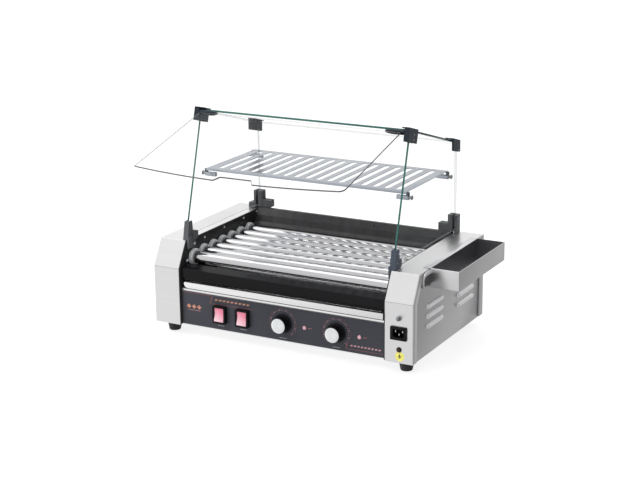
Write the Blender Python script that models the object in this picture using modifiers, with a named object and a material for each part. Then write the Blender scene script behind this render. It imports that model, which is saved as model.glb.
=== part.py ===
"""Hot dog roller grill: a countertop machine with seven heated rollers under a glass hood.

Lengths are in metres, with +Z up. The shapes are drawn in the machine's own frame: X = 0 is the middle of
the body, Y = 0 is the front of the side casings, Y grows towards the back, and Z = 0 is the counter.
One empty carries everything, and moves that frame's origin to the middle of the whole machine's footprint.
"""

import math

import bmesh
import bpy
from mathutils import Matrix, Vector

# Body
BODY_W = 0.580  # over both side casings
BODY_D = 0.340
CASING_W = 0.059
BASE_Z = 0.022  # underside of the body, on its feet
TOP_Z = 0.193
NOSE_Z = 0.141  # where the sloping front of a casing starts
NOSE_D = 0.0286
SHEET = 0.0012
GAP = 0.0004  # between pieces that touch
FLANGE = 0.018  # rim of a casing round its side panel
HALF_W = BODY_W / 2
CASING_X = HALF_W - CASING_W  # inner edge of a casing
PLATE_T = 0.0015
PLATE_X = CASING_X - GAP  # outer face of a roller plate
INNER_X = PLATE_X - PLATE_T  # inner face of a roller plate
FLOOR_Z = BASE_Z + SHEET
FRONT_Y = 0.0066  # front sheets, set back from the casings
MIDDLE_SHIFT = (-0.0295, -0.0892, 0.0)  # from the body's frame to the middle of the whole machine

# Rollers and drive
ROLLERS = 7
ROLLER_R = 0.0125
ROLLER_Y = 0.052  # axis of the front roller
ROLLER_PITCH = 0.0366
ROLLER_Z = 0.154
ROLLER_BORE = 0.0085
JOURNAL_R = 0.010
TUBE_X = 0.2205  # half length of the full-diameter tube
SEAL_R = 0.018
SEAL_BORE = 0.0106
SPIGOT_R = 0.0127
PLATE_HOLE_R = SPIGOT_R + 0.0005
SPROCKET_X = (0.239, 0.243)
SPROCKET_R = 0.0146
SPROCKET_TEETH = 12
TOOTH_DEPTH = 0.0028
CHAIN_R = 0.0152
CHAIN_T = 0.003
MOTOR_Y = ROLLER_Y + 3 * ROLLER_PITCH
MOTOR_Z = 0.056
MOTOR_R = 0.027
MOTOR_X = (0.2495, 0.284)
MOTOR_SHAFT_R = 0.004

# Front controls
SWITCH_X = (-0.1375, -0.0850)
SWITCH_Z = 0.0573
BEZEL = (0.0295, 0.036)
BEZEL_DEPTH = 0.009
ROCKER = (0.0215, 0.028)
ROCKER_IN = 0.0030  # the rocker's pivot, behind the front of its bezel
ROCKER_TIP = math.radians(7)  # either way from square
KNOB_X = (0.0057, 0.1245)
KNOB_Z = 0.0600
LAMP_X = (0.0545, 0.1746)
LAMP_Z = 0.0586
INLET = (0.2602, 0.0815)
INLET_FACE = (0.0344, 0.027)
RESET = (0.2607, 0.1116)
EARTH = (0.261, 0.049)

# Glass hood
PANE_T = 0.004
PANE_X = 0.230  # inner face of a side pane
PANE_OUT = PANE_X + PANE_T
SLOT = 0.0005  # play round a pane in its clamps
HOOD_FOOT_Z = 0.201
HOOD_FRONT_Y = 0.034
HOOD_LEAN = 0.28  # the front edge leans back by this much per metre
HOOD_TOP_Z = 0.4462
HOOD_BACK_Y = 0.3275
HOOD_BACK_Z = 0.3792
HOOD_TOP_Y = HOOD_FRONT_Y + HOOD_LEAN * (HOOD_TOP_Z - HOOD_FOOT_Z)
ROOF_DROP = (HOOD_TOP_Z - HOOD_BACK_Z) / (HOOD_BACK_Y - HOOD_TOP_Y)
TILT = math.atan(ROOF_DROP)
REAR_PANE_X = PANE_X - GAP
REAR_PANE_Z = 0.206

# Front flap
HINGE_Y = 0.092
HINGE_Z = 0.4462
FLAP_ANGLE = math.radians(14.5)  # below level, as it stands open
FLAP_X = (-0.227, 0.2205)
FLAP_T = 0.003
FLAP_LENGTH = 0.2445  # at its corners
FLAP_BOW = 0.0175  # how much longer it is in the middle
NOTCH_W = 0.084
NOTCH_D = 0.015
FLAP_CORNERS = (0.004, 0.013)

# Shelf, tray and caddy
SHELF_Z = 0.3280
SHELF_Y = (0.105, 0.300)
SHELF_X = 0.2255
STUD_Y = (0.1090, 0.2960)
STUD_Z = 0.3170
LUG_Z = (0.3118, 0.3204)
TRAY_Z = (0.1055, 0.1155)
TRAY_X = (-0.2127, 0.2193)
TRAY_BACK = 0.300
LIP_Z = (0.105, 0.1170)
LIP_X = (-0.2219, 0.2286)
CADDY_X = (0.2906, 0.3504)
CADDY_Y = (0.074, 0.303)
CADDY_Z = (0.156, 0.194)

for old in list(bpy.data.objects):
    bpy.data.objects.remove(old)

PARTS = bpy.data.collections.new("hot_dog_roller_grill")
CUTTERS = bpy.data.collections.new("cutters")
bpy.context.scene.collection.children.link(PARTS)
bpy.context.scene.collection.children.link(CUTTERS)
ROOT = bpy.data.objects.new("machine_frame", None)
ROOT.location = MIDDLE_SHIFT
PARTS.objects.link(ROOT)

# Turns that point an object's own Z, or its drawing plane's normal, along another axis
ALONG = {"X": (math.pi / 2, 0, math.pi / 2), "Y": (math.pi / 2, 0, 0), "Z": (0, 0, 0)}
TURNED = {"X": (0, math.pi / 2, 0), "-X": (0, -math.pi / 2, 0), "-Y": (math.pi / 2, 0, 0), "Z": (0, 0, 0)}


def material(name, colour, roughness, metallic=0.0, alpha=1.0):
    made = bpy.data.materials.new(name)
    made.use_nodes = True
    shader = made.node_tree.nodes["Principled BSDF"]
    shader.inputs["Base Color"].default_value = (*colour, 1.0)
    shader.inputs["Roughness"].default_value = roughness
    shader.inputs["Metallic"].default_value = metallic
    shader.inputs["Alpha"].default_value = alpha
    return made


STEEL = material("brushed_steel", (0.72, 0.72, 0.73), 0.35, 1.0)
CHROME = material("polished_chrome", (0.86, 0.86, 0.87), 0.08, 1.0)
BLACK_METAL = material("black_enamel", (0.025, 0.025, 0.027), 0.25)
SLATE = material("slate_overlay", (0.045, 0.05, 0.06), 0.4)
GLASS = material("clear_glass", (0.80, 0.92, 0.88), 0.03, 0.0, 0.25)
ACRYLIC = material("clear_acrylic", (0.93, 0.95, 0.96), 0.05, 0.0, 0.25)
BLACK_PLASTIC = material("black_plastic", (0.015, 0.017, 0.024), 0.4)
GREY_SEAL = material("grey_seal", (0.36, 0.36, 0.36), 0.5)
RUBBER = material("black_rubber", (0.02, 0.02, 0.02), 0.8)
RED_LENS = material("red_lens", (0.85, 0.16, 0.22), 0.2)
ZINC = material("zinc_plate", (0.5, 0.5, 0.52), 0.4, 1.0)
CHAIN_STEEL = material("chain_steel", (0.2, 0.2, 0.21), 0.4, 1.0)


def place(obj, finish=None):
    """Puts an object in the model, or with no finish among the cutters, which are only drawn as wires."""
    obj.parent = ROOT
    if finish is None:
        CUTTERS.objects.link(obj)
        obj.hide_render = True
        obj.display_type = "WIRE"
    else:
        PARTS.objects.link(obj)
        obj.data.materials.clear()
        obj.data.materials.append(finish)
    return obj


def offset(points, distance, closed):
    """Moves a path sideways, to the left of its direction, with mitred corners."""
    last = len(points) - 1
    moved = []
    for i, point in enumerate(points):
        here = Vector(point)
        runs = []
        if closed or i > 0:
            runs.append(here - Vector(points[i - 1]))
        if closed or i < last:
            runs.append(Vector(points[(i + 1) % (last + 1)]) - here)
        first, second = (Vector((-run.y, run.x)).normalized() for run in (runs[0], runs[-1]))
        moved.append(tuple(here + (first + second) * distance / (1 + first.dot(second))))
    return moved


def bent_sheet(path, thickness):
    """The outline of a sheet that is folded along a path."""
    return list(path) + offset(path, thickness, closed=False)[::-1]


def circle(x, y, radius, sides=24):
    turn = 2 * math.pi / sides
    return [(x + radius * math.cos(turn * i), y + radius * math.sin(turn * i)) for i in range(sides)]


def rectangle(low, high):
    return [low, (high[0], low[1]), high, (low[0], high[1])]


def mirrored(span, side):
    """A span of X on the right, or its mirror image on the left."""
    return tuple(sorted(side * x for x in span))


def settle(obj, finish):
    """Turns a curve, or an object with modifiers, into a plain closed mesh object."""
    bpy.context.view_layer.update()
    graph = bpy.context.evaluated_depsgraph_get()
    mesh = bpy.data.meshes.new_from_object(obj.evaluated_get(graph))
    shape = bmesh.new()
    shape.from_mesh(mesh)
    bmesh.ops.remove_doubles(shape, verts=shape.verts, dist=1e-6)
    bmesh.ops.recalc_face_normals(shape, faces=shape.faces)
    shape.to_mesh(mesh)
    shape.free()
    name, pose = obj.name, obj.matrix_basis.copy()
    bpy.data.objects.remove(obj)
    solid = bpy.data.objects.new(name, mesh)
    solid.matrix_basis = pose
    return place(solid, finish)


def prism(name, outlines, span, axis, finish=None):
    """Flat outlines, the inner ones holes, drawn out along an axis from span[0] to span[1]."""
    curve = bpy.data.curves.new(name, "CURVE")
    curve.dimensions = "2D"
    curve.fill_mode = "BOTH"
    curve.extrude = abs(span[1] - span[0]) / 2
    for outline in outlines:
        spline = curve.splines.new("POLY")
        spline.points.add(len(outline) - 1)
        for point, (x, y) in zip(spline.points, outline):
            point.co = (x, y, 0, 1)
        spline.use_cyclic_u = True
    obj = bpy.data.objects.new(name, curve)
    middle = (span[0] + span[1]) / 2
    obj.location = Vector([middle if letter == axis else 0 for letter in "XYZ"])
    obj.rotation_euler = ALONG[axis]
    place(obj)
    return settle(obj, finish)


def box(name, low, high, finish=None, bevel=0.0, segments=1):
    mesh = bpy.data.meshes.new(name)
    shape = bmesh.new()
    bmesh.ops.create_cube(shape, size=1.0)
    size = Vector(high) - Vector(low)
    bmesh.ops.scale(shape, vec=size, verts=shape.verts)
    shape.to_mesh(mesh)
    shape.free()
    obj = place(bpy.data.objects.new(name, mesh), finish)
    obj.location = (Vector(low) + Vector(high)) / 2
    if bevel:
        rounding = obj.modifiers.new("rounded", "BEVEL")
        rounding.width = bevel
        rounding.segments = segments
    return obj


def turned(name, profile, place_at, axis, finish=None, steps=24, ring=False):
    """A turned piece: (radius, height) points that run down its outer side, closed if it is a ring."""
    edges = [(i, i + 1) for i in range(len(profile) - 1)]
    if ring:
        edges.append((len(profile) - 1, 0))
    mesh = bpy.data.meshes.new(name)
    mesh.from_pydata([(radius, 0, height) for radius, height in profile], edges, [])
    obj = place(bpy.data.objects.new(name, mesh), finish)
    obj.location = place_at
    obj.rotation_euler = TURNED[axis]
    screw = obj.modifiers.new("turned", "SCREW")
    screw.steps = screw.render_steps = steps
    screw.use_merge_vertices = True
    screw.merge_threshold = 1e-5
    return obj


def combine(obj, tool, operation):
    step = obj.modifiers.new(operation.lower(), "BOOLEAN")
    step.operation = operation
    step.solver = "EXACT"
    step.object = tool


def cut(obj, *tools):
    for tool in tools:
        combine(obj, tool, "DIFFERENCE")


def fuse(obj, *tools):
    for tool in tools:
        combine(obj, tool, "UNION")


def casing_outline(inset=0.0, bottom=BASE_Z):
    """A side casing seen from the side as (Y, Z), made smaller by an inset but open to its bottom."""
    outer = [(0, BASE_Z), (BODY_D, BASE_Z), (BODY_D, TOP_Z), (NOSE_D, TOP_Z), (0, NOSE_Z)]
    inner = offset(outer, inset, closed=True)
    return [(y, bottom if i < 2 else z) for i, (y, z) in enumerate(inner)]


def roller_y(number):
    return ROLLER_Y + (number - 1) * ROLLER_PITCH


def base_pan():
    half = HALF_W - 0.0036
    path = [(-half, BASE_Z + 0.010), (-half, BASE_Z), (half, BASE_Z), (half, BASE_Z + 0.010)]
    prism("base_pan", [bent_sheet(path, SHEET)], (0.0096, 0.331), "Y", STEEL)


def casing(name, side):
    shell = prism(name, [casing_outline()], mirrored((CASING_X, HALF_W), side), "X", STEEL)
    below = BASE_Z - 0.01
    room = prism(name + "_room", [casing_outline(SHEET, below)],
                 mirrored((CASING_X - 0.01, HALF_W - SHEET), side), "X")
    window = prism(name + "_window", [casing_outline(FLANGE, below)],
                   mirrored((HALF_W - 0.01, HALF_W + 0.01), side), "X")
    cut(shell, room, window)
    return shell


def right_casing_holes(shell):
    inlet_w, inlet_h = (INLET_FACE[0] - 0.006) / 2, (INLET_FACE[1] - 0.006) / 2
    x, z = INLET
    inlet = rectangle((x - inlet_w, z - inlet_h), (x + inlet_w, z + inlet_h))
    outlines = [inlet, circle(*RESET, 0.0032, 16), circle(*EARTH, 0.0024, 16)]
    cut(shell, prism("right_casing_holes", outlines, (-0.005, 0.005), "Y"))


def side_panel(name, side):
    """A flat side cover with two columns of three pressed louvres."""
    face = HALF_W - SHEET - GAP
    panel = prism(name, [casing_outline(SHEET + GAP)], mirrored((face - SHEET, face), side), "X", STEEL)
    for column, span in enumerate(((0.062, 0.137), (0.208, 0.288))):
        hoods = []
        for z in (0.079, 0.099, 0.119):
            hoods.append([(side * (face - 0.0006), z - 0.005), (side * (face + 0.0030), z - 0.005),
                          (side * (face + 0.0030), z - 0.002), (side * (face + 0.0018), z + 0.002),
                          (side * (face - 0.0006), z + 0.005)])
        fuse(panel, prism(f"{name}_louvres_{column}", hoods, span, "Y"))


def roller_plate(name, side):
    outline = casing_outline(0.0, FLOOR_Z + GAP)
    holes = [circle(roller_y(i), ROLLER_Z, PLATE_HOLE_R, 16) for i in range(1, ROLLERS + 1)]
    plate = prism(name, [outline] + holes, mirrored((INNER_X, PLATE_X), side), "X", BLACK_METAL)
    ledge_z = TRAY_Z[0] - GAP
    low, high = mirrored((0.209, INNER_X + 0.0006), side)
    fuse(plate, box(name + "_ledge", (low, 0.026, ledge_z - SHEET), (high, TRAY_BACK, ledge_z)))
    return plate


def seal_profile(flange, spigot):
    """A flanged bush: flange and spigot are spans along its axis, the spigot the higher."""
    return [(SEAL_BORE, spigot[1]), (SPIGOT_R, spigot[1]), (SPIGOT_R, flange[1]), (SEAL_R, flange[1]),
            (SEAL_R, flange[0] + 0.002), (SEAL_R - 0.002, flange[0]), (SEAL_BORE, flange[0])]


def left_seals():
    profile = seal_profile((TUBE_X + 0.0006, INNER_X - GAP), (INNER_X, 0.2335))
    for i in range(1, ROLLERS + 1):
        turned(f"left_seal_{i}", profile, (0, roller_y(i), ROLLER_Z), "-X", GREY_SEAL, 16, ring=True)


def fuse_right_seals(plate):
    """The right seals are pressed into their plate, and are one piece with it here."""
    bite = 0.0009
    profile = [(SEAL_BORE, 0.2335), (SPIGOT_R + bite, 0.2335), (SPIGOT_R + bite, INNER_X + 0.0005),
               (SEAL_R, INNER_X + 0.0005), (SEAL_R, TUBE_X + 0.0026), (SEAL_R - 0.002, TUBE_X + 0.0006),
               (SEAL_BORE, TUBE_X + 0.0006)]
    for i in range(1, ROLLERS + 1):
        at = (0, roller_y(i), ROLLER_Z)
        fuse(plate, turned(f"right_seal_{i}", profile, at, "X", None, 16, ring=True))


def sprocket(name, centre, axis_span, radius):
    """A toothed disc along X: every other point of its rim is drawn in."""
    rim = circle(*centre, 1.0, 2 * SPROCKET_TEETH)
    outline = []
    for i, (y, z) in enumerate(rim):
        reach = radius - TOOTH_DEPTH * (i % 2)
        outline.append((centre[0] + (y - centre[0]) * reach, centre[1] + (z - centre[1]) * reach))
    return prism(name, [outline], axis_span, "X")


def rollers():
    """Hollow tubes with turned-down ends, the left one carrying a sprocket. They share one mesh."""
    left, right = -(SPROCKET_X[1] + 0.002), 0.2345
    profile = [(ROLLER_BORE, right), (JOURNAL_R, right), (JOURNAL_R, TUBE_X), (ROLLER_R, TUBE_X),
               (ROLLER_R, -TUBE_X), (JOURNAL_R, -TUBE_X), (JOURNAL_R, left), (ROLLER_BORE, left)]
    first = turned("roller_1", profile, (0, roller_y(1), ROLLER_Z), "X", CHROME, 20, ring=True)
    wheel = sprocket("roller_sprocket", (roller_y(1), ROLLER_Z), mirrored(SPROCKET_X, -1), SPROCKET_R)
    bore = turned("roller_sprocket_bore", [(0, 0.26), (0.0093, 0.26), (0.0093, 0.23), (0, 0.23)],
                  (0, roller_y(1), ROLLER_Z), "-X")
    cut(wheel, bore)
    fuse(first, wheel)
    first = settle(first, CHROME)
    for i in range(2, ROLLERS + 1):
        copy = bpy.data.objects.new(f"roller_{i}", first.data)
        PARTS.objects.link(copy)
        copy.parent = ROOT
        copy.rotation_euler = TURNED["X"]
        copy.location = (0, roller_y(i), ROLLER_Z)


def loop_outline(centres, radius, steps=6):
    """The tight loop round equal wheels, whose centres are given anticlockwise."""
    points = []
    count = len(centres)
    for i, (x, y) in enumerate(centres):
        before, after = centres[i - 1], centres[(i + 1) % count]
        start = math.atan2(y - before[1], x - before[0]) - math.pi / 2
        end = math.atan2(after[1] - y, after[0] - x) - math.pi / 2
        sweep = (end - start) % (2 * math.pi)
        for step in range(steps + 1):
            angle = start + sweep * step / steps
            points.append((x + radius * math.cos(angle), y + radius * math.sin(angle)))
    return points


def drive():
    """The motor, its sprocket and the chain, in the left casing."""
    at = (0, MOTOR_Y, MOTOR_Z)
    low, high = MOTOR_X
    can = [(0, high), (MOTOR_R - 0.002, high), (MOTOR_R, high - 0.002), (MOTOR_R, low),
           (0.010, low), (0.010, low - 0.0015), (MOTOR_SHAFT_R, low - 0.0015),
           (MOTOR_SHAFT_R, SPROCKET_X[0]), (0, SPROCKET_X[0])]
    motor = turned("gear_motor", can, at, "-X", ZINC)
    saddle_x = mirrored((low + 0.004, high - 0.004), -1)
    fuse(motor, box("motor_foot", (saddle_x[0], MOTOR_Y - 0.021, FLOOR_Z + GAP),
                    (saddle_x[1], MOTOR_Y + 0.021, MOTOR_Z - MOTOR_R + 0.009)))
    wheel = sprocket("motor_sprocket", (MOTOR_Y, MOTOR_Z), mirrored(SPROCKET_X, -1), SPROCKET_R)
    wheel = settle(wheel, CHAIN_STEEL)
    bore_r = MOTOR_SHAFT_R + 0.0004
    bore = [(0, 0.26), (bore_r, 0.26), (bore_r, 0.22), (0, 0.22)]
    cut(wheel, turned("motor_sprocket_bore", bore, at, "-X"))
    centres = [(MOTOR_Y, MOTOR_Z), (roller_y(ROLLERS), ROLLER_Z), (roller_y(1), ROLLER_Z)]
    loops = [loop_outline(centres, CHAIN_R + CHAIN_T), loop_outline(centres, CHAIN_R)]
    prism("drive_chain", loops, mirrored(SPROCKET_X, -1), "X", CHAIN_STEEL)


def front_fascia():
    path = [(FRONT_Y, 0.1220), (FRONT_Y, NOSE_Z), (0.030, 0.1465), (0.030, 0.1390)]
    half = INNER_X - GAP
    prism("front_fascia", [bent_sheet(path, -SHEET)], (-half, half), "X", BLACK_METAL)


def control_panel():
    path = [(FRONT_Y, BASE_Z + GAP), (FRONT_Y, 0.1005), (0.0240, 0.1005)]
    half = INNER_X - GAP
    panel = prism("control_panel", [bent_sheet(path, -SHEET)], (-half, half), "X", SLATE)
    holes = [circle(x, KNOB_Z, 0.0042, 16) for x in KNOB_X]
    holes += [circle(x, LAMP_Z, 0.0041, 16) for x in LAMP_X]
    half_w, half_h = BEZEL[0] / 2 - 0.0015, BEZEL[1] / 2 - 0.0015
    for x in SWITCH_X:
        holes.append(rectangle((x - half_w, SWITCH_Z - half_h), (x + half_w, SWITCH_Z + half_h)))
    cut(panel, prism("control_panel_holes", holes, (0, 0.012), "Y"))


def rear_panel():
    """The back cover, which rolls over at its top into the sloping splash behind the last roller."""
    path = [(0.3285, FLOOR_Z + GAP), (0.3285, 0.1905), (0.3235, 0.1960), (0.3160, 0.1960),
            (0.3040, 0.1830), (0.2990, 0.1700), (0.2900, 0.1640), (0.2900, 0.1480)]
    half = INNER_X - GAP
    prism("rear_panel", [bent_sheet(path, SHEET)], (-half, half), "X", BLACK_METAL)


def feet():
    top = BASE_Z - GAP
    profile = [(0, top), (0.0143, top), (0.0143, 0.0150), (0.0118, 0.0015), (0.0105, 0), (0, 0)]
    for end, x, y in (("front", 0.2635, 0.029), ("rear", 0.2500, 0.311)):
        for side_name, side in (("left", -1), ("right", 1)):
            turned(f"{end}_{side_name}_foot", profile, (side * x, y, 0), "Z", RUBBER)


def power_inlet():
    """A three-pin mains inlet, open to the front."""
    (x, z), (w, h) = INLET, INLET_FACE
    inlet = box("power_inlet", (x - w / 2, -0.0024, z - h / 2), (x + w / 2, -GAP, z + h / 2), BLACK_PLASTIC)
    well_w, well_h = w / 2 - 0.0034, h / 2 - 0.0034
    fuse(inlet, box("inlet_body", (x - well_w, -0.002, z - well_h), (x + well_w, 0.026, z + well_h)))
    cut(inlet, box("inlet_well", (x - 0.0118, -0.01, z - 0.0082), (x + 0.0118, 0.015, z + 0.0082)))
    for dx, dz in ((-0.0075, 0.003), (0.0075, 0.003), (0, -0.003)):
        pin = (x + dx - 0.001, 0.002, z + dz - 0.002), (x + dx + 0.001, 0.020, z + dz + 0.002)
        fuse(inlet, box("inlet_pin", *pin))


def casing_buttons():
    reset = [(0, 0.0050), (0.0022, 0.0047), (0.0038, 0.0032), (0.0040, 0.0006), (0.0027, 0.0006),
             (0.0027, -0.0090), (0.0042, -0.0090), (0.0042, -0.0115), (0, -0.0115)]
    turned("reset_button", reset, (RESET[0], -0.0035, RESET[1]), "-Y", ZINC, 20)
    screw = [(0, 0.0032), (0.0030, 0.0030), (0.0042, 0.0018), (0.0042, GAP), (0.0020, GAP), (0.0020, -0.012),
             (0, -0.012)]
    turned("earth_screw", screw, (EARTH[0], 0, EARTH[1]), "-Y", ZINC, 16)


def switches():
    """Rocker switches: a deep bezel through the panel, and a rocker that tips about its middle."""
    front = FRONT_Y - BEZEL_DEPTH
    half_w, half_h = BEZEL[0] / 2, BEZEL[1] / 2
    for i, x in enumerate(SWITCH_X, 1):
        low, high = (x - half_w, front, SWITCH_Z - half_h), (x + half_w, FRONT_Y - GAP, SWITCH_Z + half_h)
        housing = box(f"switch_housing_{i}", low, high, BLACK_PLASTIC)
        inset = 0.002
        fuse(housing, box("switch_body", (x - half_w + inset, FRONT_Y - 0.002, SWITCH_Z - half_h + inset),
                          (x + half_w - inset, 0.030, SWITCH_Z + half_h - inset)))
        well_w, well_h = ROCKER[0] / 2 + GAP, ROCKER[1] / 2 + 0.0008
        cut(housing, box("switch_well", (x - well_w, front - 0.01, SWITCH_Z - well_h),
                         (x + well_w, 0.016, SWITCH_Z + well_h)))
        rocker(i, x, front)


def rocker(number, x, front):
    """The rocker's face is a shallow V, and it is stored switched on, with its upper half pressed in."""
    half = ROCKER[1] / 2
    end = half - 0.0012
    face = [(-0.0010, 0), (-0.0030, half), (0.0060, end), (0.0085, 0), (0.0060, -end), (-0.0030, -half)]
    obj = prism(f"rocker_{number}", [face], (-ROCKER[0] / 2, ROCKER[0] / 2), "X", RED_LENS)
    tipped = Matrix.Rotation(-ROCKER_TIP, 4, "X")
    obj.matrix_basis = Matrix.Translation((x, front + ROCKER_IN, SWITCH_Z)) @ tipped @ obj.matrix_basis


def knobs():
    """Thermostat knobs: a skirt, a cap and a stub of shaft through the panel."""
    profile = [(0, 0.0200), (0.0152, 0.0200), (0.0160, 0.0188), (0.0166, 0.0070), (0.0198, 0.0040),
               (0.0198, 0.0010), (0.0032, 0.0010), (0.0032, -0.0150), (0, -0.0150)]
    for i, x in enumerate(KNOB_X, 1):
        turned(f"thermostat_knob_{i}", profile, (x, FRONT_Y, KNOB_Z), "-Y", BLACK_PLASTIC)


def lamps():
    profile = [(0, 0.0042), (0.0024, 0.0036), (0.0042, 0.0018), (0.0046, GAP), (0.0036, GAP),
               (0.0036, -0.016), (0, -0.016)]
    for i, x in enumerate(LAMP_X, 1):
        turned(f"pilot_lamp_{i}", profile, (x, FRONT_Y, LAMP_Z), "-Y", RED_LENS, 16)


def drip_tray():
    """A shallow tray on the plates' ledges, with a rolled lip across its front."""
    (left, right), (low, high), wall, front = TRAY_X, TRAY_Z, 0.001, 0.003
    tray = box("drip_tray", (left, front, low), (right, TRAY_BACK, high), STEEL)
    cut(tray, box("tray_room", (left + wall, front + wall, low + wall),
                  (right - wall, TRAY_BACK - wall, high + 0.01)))
    lip_low, lip_high = (LIP_X[0], -0.0040, LIP_Z[0]), (LIP_X[1], 0.0036, LIP_Z[1])
    fuse(tray, box("tray_lip", lip_low, lip_high, None, 0.003, 3))


def hood_side_outline(grow=0.0):
    outline = [(HOOD_FRONT_Y, HOOD_FOOT_Z), (HOOD_BACK_Y, HOOD_FOOT_Z), (HOOD_BACK_Y, HOOD_BACK_Z),
               (HOOD_TOP_Y, HOOD_TOP_Z)]
    return offset(outline, -grow, closed=True)


def roof_outline(grow=0.0):
    """The top pane seen from the side: it lies on the side panes and ends just past them."""
    along = Vector((math.cos(TILT), -math.sin(TILT)))
    up = Vector((math.sin(TILT), math.cos(TILT)))
    corner = Vector((HOOD_TOP_Y, HOOD_TOP_Z)) + up * GAP - along * 0.001
    length = (HOOD_BACK_Y - HOOD_TOP_Y) / math.cos(TILT) + 0.001
    points = [corner, corner + along * length, corner + along * length + up * PANE_T, corner + up * PANE_T]
    return offset([tuple(p) for p in points], -grow, closed=True)


def panes():
    for name, side in (("left_glass", -1), ("right_glass", 1)):
        holes = [circle(y, STUD_Z, 0.0032, 12) for y in STUD_Y]
        prism(name, [hood_side_outline()] + holes, mirrored((PANE_X, PANE_OUT), side), "X", GLASS)
    prism("top_glass", [roof_outline()], (-PANE_OUT, PANE_OUT), "X", GLASS)
    low = (-REAR_PANE_X, HOOD_BACK_Y - PANE_T, REAR_PANE_Z)
    box("rear_glass", low, (REAR_PANE_X, HOOD_BACK_Y, HOOD_BACK_Z - 0.001), GLASS)


def pane_cutters(tag, side):
    """Slots a little larger than the panes, for the clamps to be cut by."""
    across = mirrored((PANE_X - SLOT, PANE_OUT + SLOT), side)
    sides = prism(tag + "_side_slot", [hood_side_outline(SLOT)], across, "X")
    roof = prism(tag + "_roof_slot", [roof_outline(SLOT)], mirrored((0.1, PANE_OUT + SLOT), side), "X")
    low_x, high_x = mirrored((0.1, REAR_PANE_X + SLOT), side)
    rear = box(tag + "_rear_slot", (low_x, HOOD_BACK_Y - PANE_T - SLOT, REAR_PANE_Z - SLOT),
               (high_x, HOOD_BACK_Y + SLOT, HOOD_BACK_Z))
    return sides, roof, rear


def tilted(y0, y1, up0, up1):
    """A rectangle in the roof's own axes, measured back from and up from the side pane's front top corner."""
    along = Vector((math.cos(TILT), -math.sin(TILT)))
    up = Vector((math.sin(TILT), math.cos(TILT)))
    corner = Vector((HOOD_TOP_Y, HOOD_TOP_Z))
    return [tuple(corner + along * a + up * b) for a, b in ((y0, up0), (y1, up0), (y1, up1), (y0, up1))]


def front_connector(name, side, slots):
    """Holds the side pane's corner, the roof's corner and the pin of a flap hinge."""
    outline = tilted(-0.0145, 0.0260, -0.0200, 0.0075)
    block = prism(name, [outline], mirrored((0.2280, 0.2385), side), "X", BLACK_PLASTIC)
    outline = tilted(-0.0100, 0.0180, 0.0052, 0.0075)
    tongue = prism(name + "_tongue", [outline], mirrored((0.2200, 0.2300), side), "X")
    fuse(block, tongue)
    cut(block, slots[0], slots[1])
    pin = [(0, 0.236), (0.0027, 0.236), (0.0027, 0.200), (0, 0.200)]
    cut(block, turned(name + "_pin_hole", pin, (0, HINGE_Y, HINGE_Z), "X" if side > 0 else "-X", None, 16))


def rear_connector(name, side, slots):
    """Holds three panes together: an outer cheek, a back wall and a tongue on the roof."""
    back = HOOD_BACK_Y + 0.0040
    front = back - 0.0340
    top = HOOD_BACK_Z + 0.0070
    drop = ROOF_DROP * (back - front)
    cheek = [(front, top + drop - 0.0260), (back - 0.002, top - 0.0240), (back, top - 0.0220),
             (back, top), (front, top + drop)]
    block = prism(name, [cheek], mirrored((PANE_OUT + SLOT, 0.2385), side), "X", BLACK_PLASTIC)
    wall_y = HOOD_BACK_Y + SLOT
    wall = [(wall_y, top - 0.0240), (back, top - 0.0220), (back, top), (wall_y, top)]
    tongue = [(front, top + drop - 0.0020), (back, top - 0.0020), (back, top), (front, top + drop)]
    fuse(block, prism(name + "_wall", [wall], mirrored((0.2240, 0.2360), side), "X"))
    fuse(block, prism(name + "_tongue", [tongue], mirrored((0.2200, 0.2360), side), "X"))
    cut(block, slots[1])


def front_post(name, side, slots):
    """A leaning clamp for the side pane's foot, with a step behind it and a tab on the roller plate."""
    foot = TOP_Z + GAP
    clamp = [(0.0300, foot), (0.0520, foot), (0.0490, 0.2310), (0.0375, 0.2310)]
    post = prism(name, [clamp], mirrored((0.2262, 0.2378), side), "X", BLACK_PLASTIC)
    step = [(0.0460, foot), (0.0560, foot), (0.0600, foot + 0.0026), (0.0600, 0.2090), (0.0460, 0.2120)]
    fuse(post, prism(name + "_step", [step], mirrored((0.2195, 0.2378), side), "X"))
    low_x, high_x = mirrored((0.2235, INNER_X - GAP), side)
    fuse(post, box(name + "_tab", (low_x, 0.0300, 0.1760), (high_x, 0.0560, 0.2000)))
    cut(post, slots[0])


def rear_post(name, side, slots):
    """An upright clamp on the casing's top, with a lobe inwards that holds the rear pane's foot."""
    low_x, high_x = mirrored((0.2195, 0.2400), side)
    post = box(name, (low_x, 0.3160, 0.1975), (high_x, 0.3330, 0.2325), BLACK_PLASTIC)
    foot_x = mirrored((0.2345, 0.2400 if side > 0 else 0.2520), side)
    fuse(post, box(name + "_foot", (foot_x[0], 0.3140, TOP_Z + GAP), (foot_x[1], 0.3330, 0.2050)))
    lobe_x = mirrored((0.1980, 0.2240), side)
    fuse(post, box(name + "_lobe", (lobe_x[0], 0.3170, 0.1975), (lobe_x[1], 0.3330, 0.2130), None))
    cut(post, slots[0], slots[2])


def hood_fittings():
    for word, side in (("left", -1), ("right", 1)):
        slots = pane_cutters(word, side)
        front_connector(f"front_{word}_connector", side, slots)
        rear_connector(f"rear_{word}_connector", side, slots)
        front_post(f"front_{word}_post", side, slots)
        rear_post(f"rear_{word}_post", side, slots)


def arc(centre, radius, start, end, steps=5):
    """Points of an arc, from and to angles in degrees."""
    angles = [math.radians(start + (end - start) * i / steps) for i in range(steps + 1)]
    return [(centre[0] + radius * math.cos(a), centre[1] + radius * math.sin(a)) for a in angles]


def free_edge(x):
    """How far the flap's free edge is from its hinge, at X."""
    return FLAP_LENGTH + FLAP_BOW * (1 - (x / FLAP_X[0]) ** 2)


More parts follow.
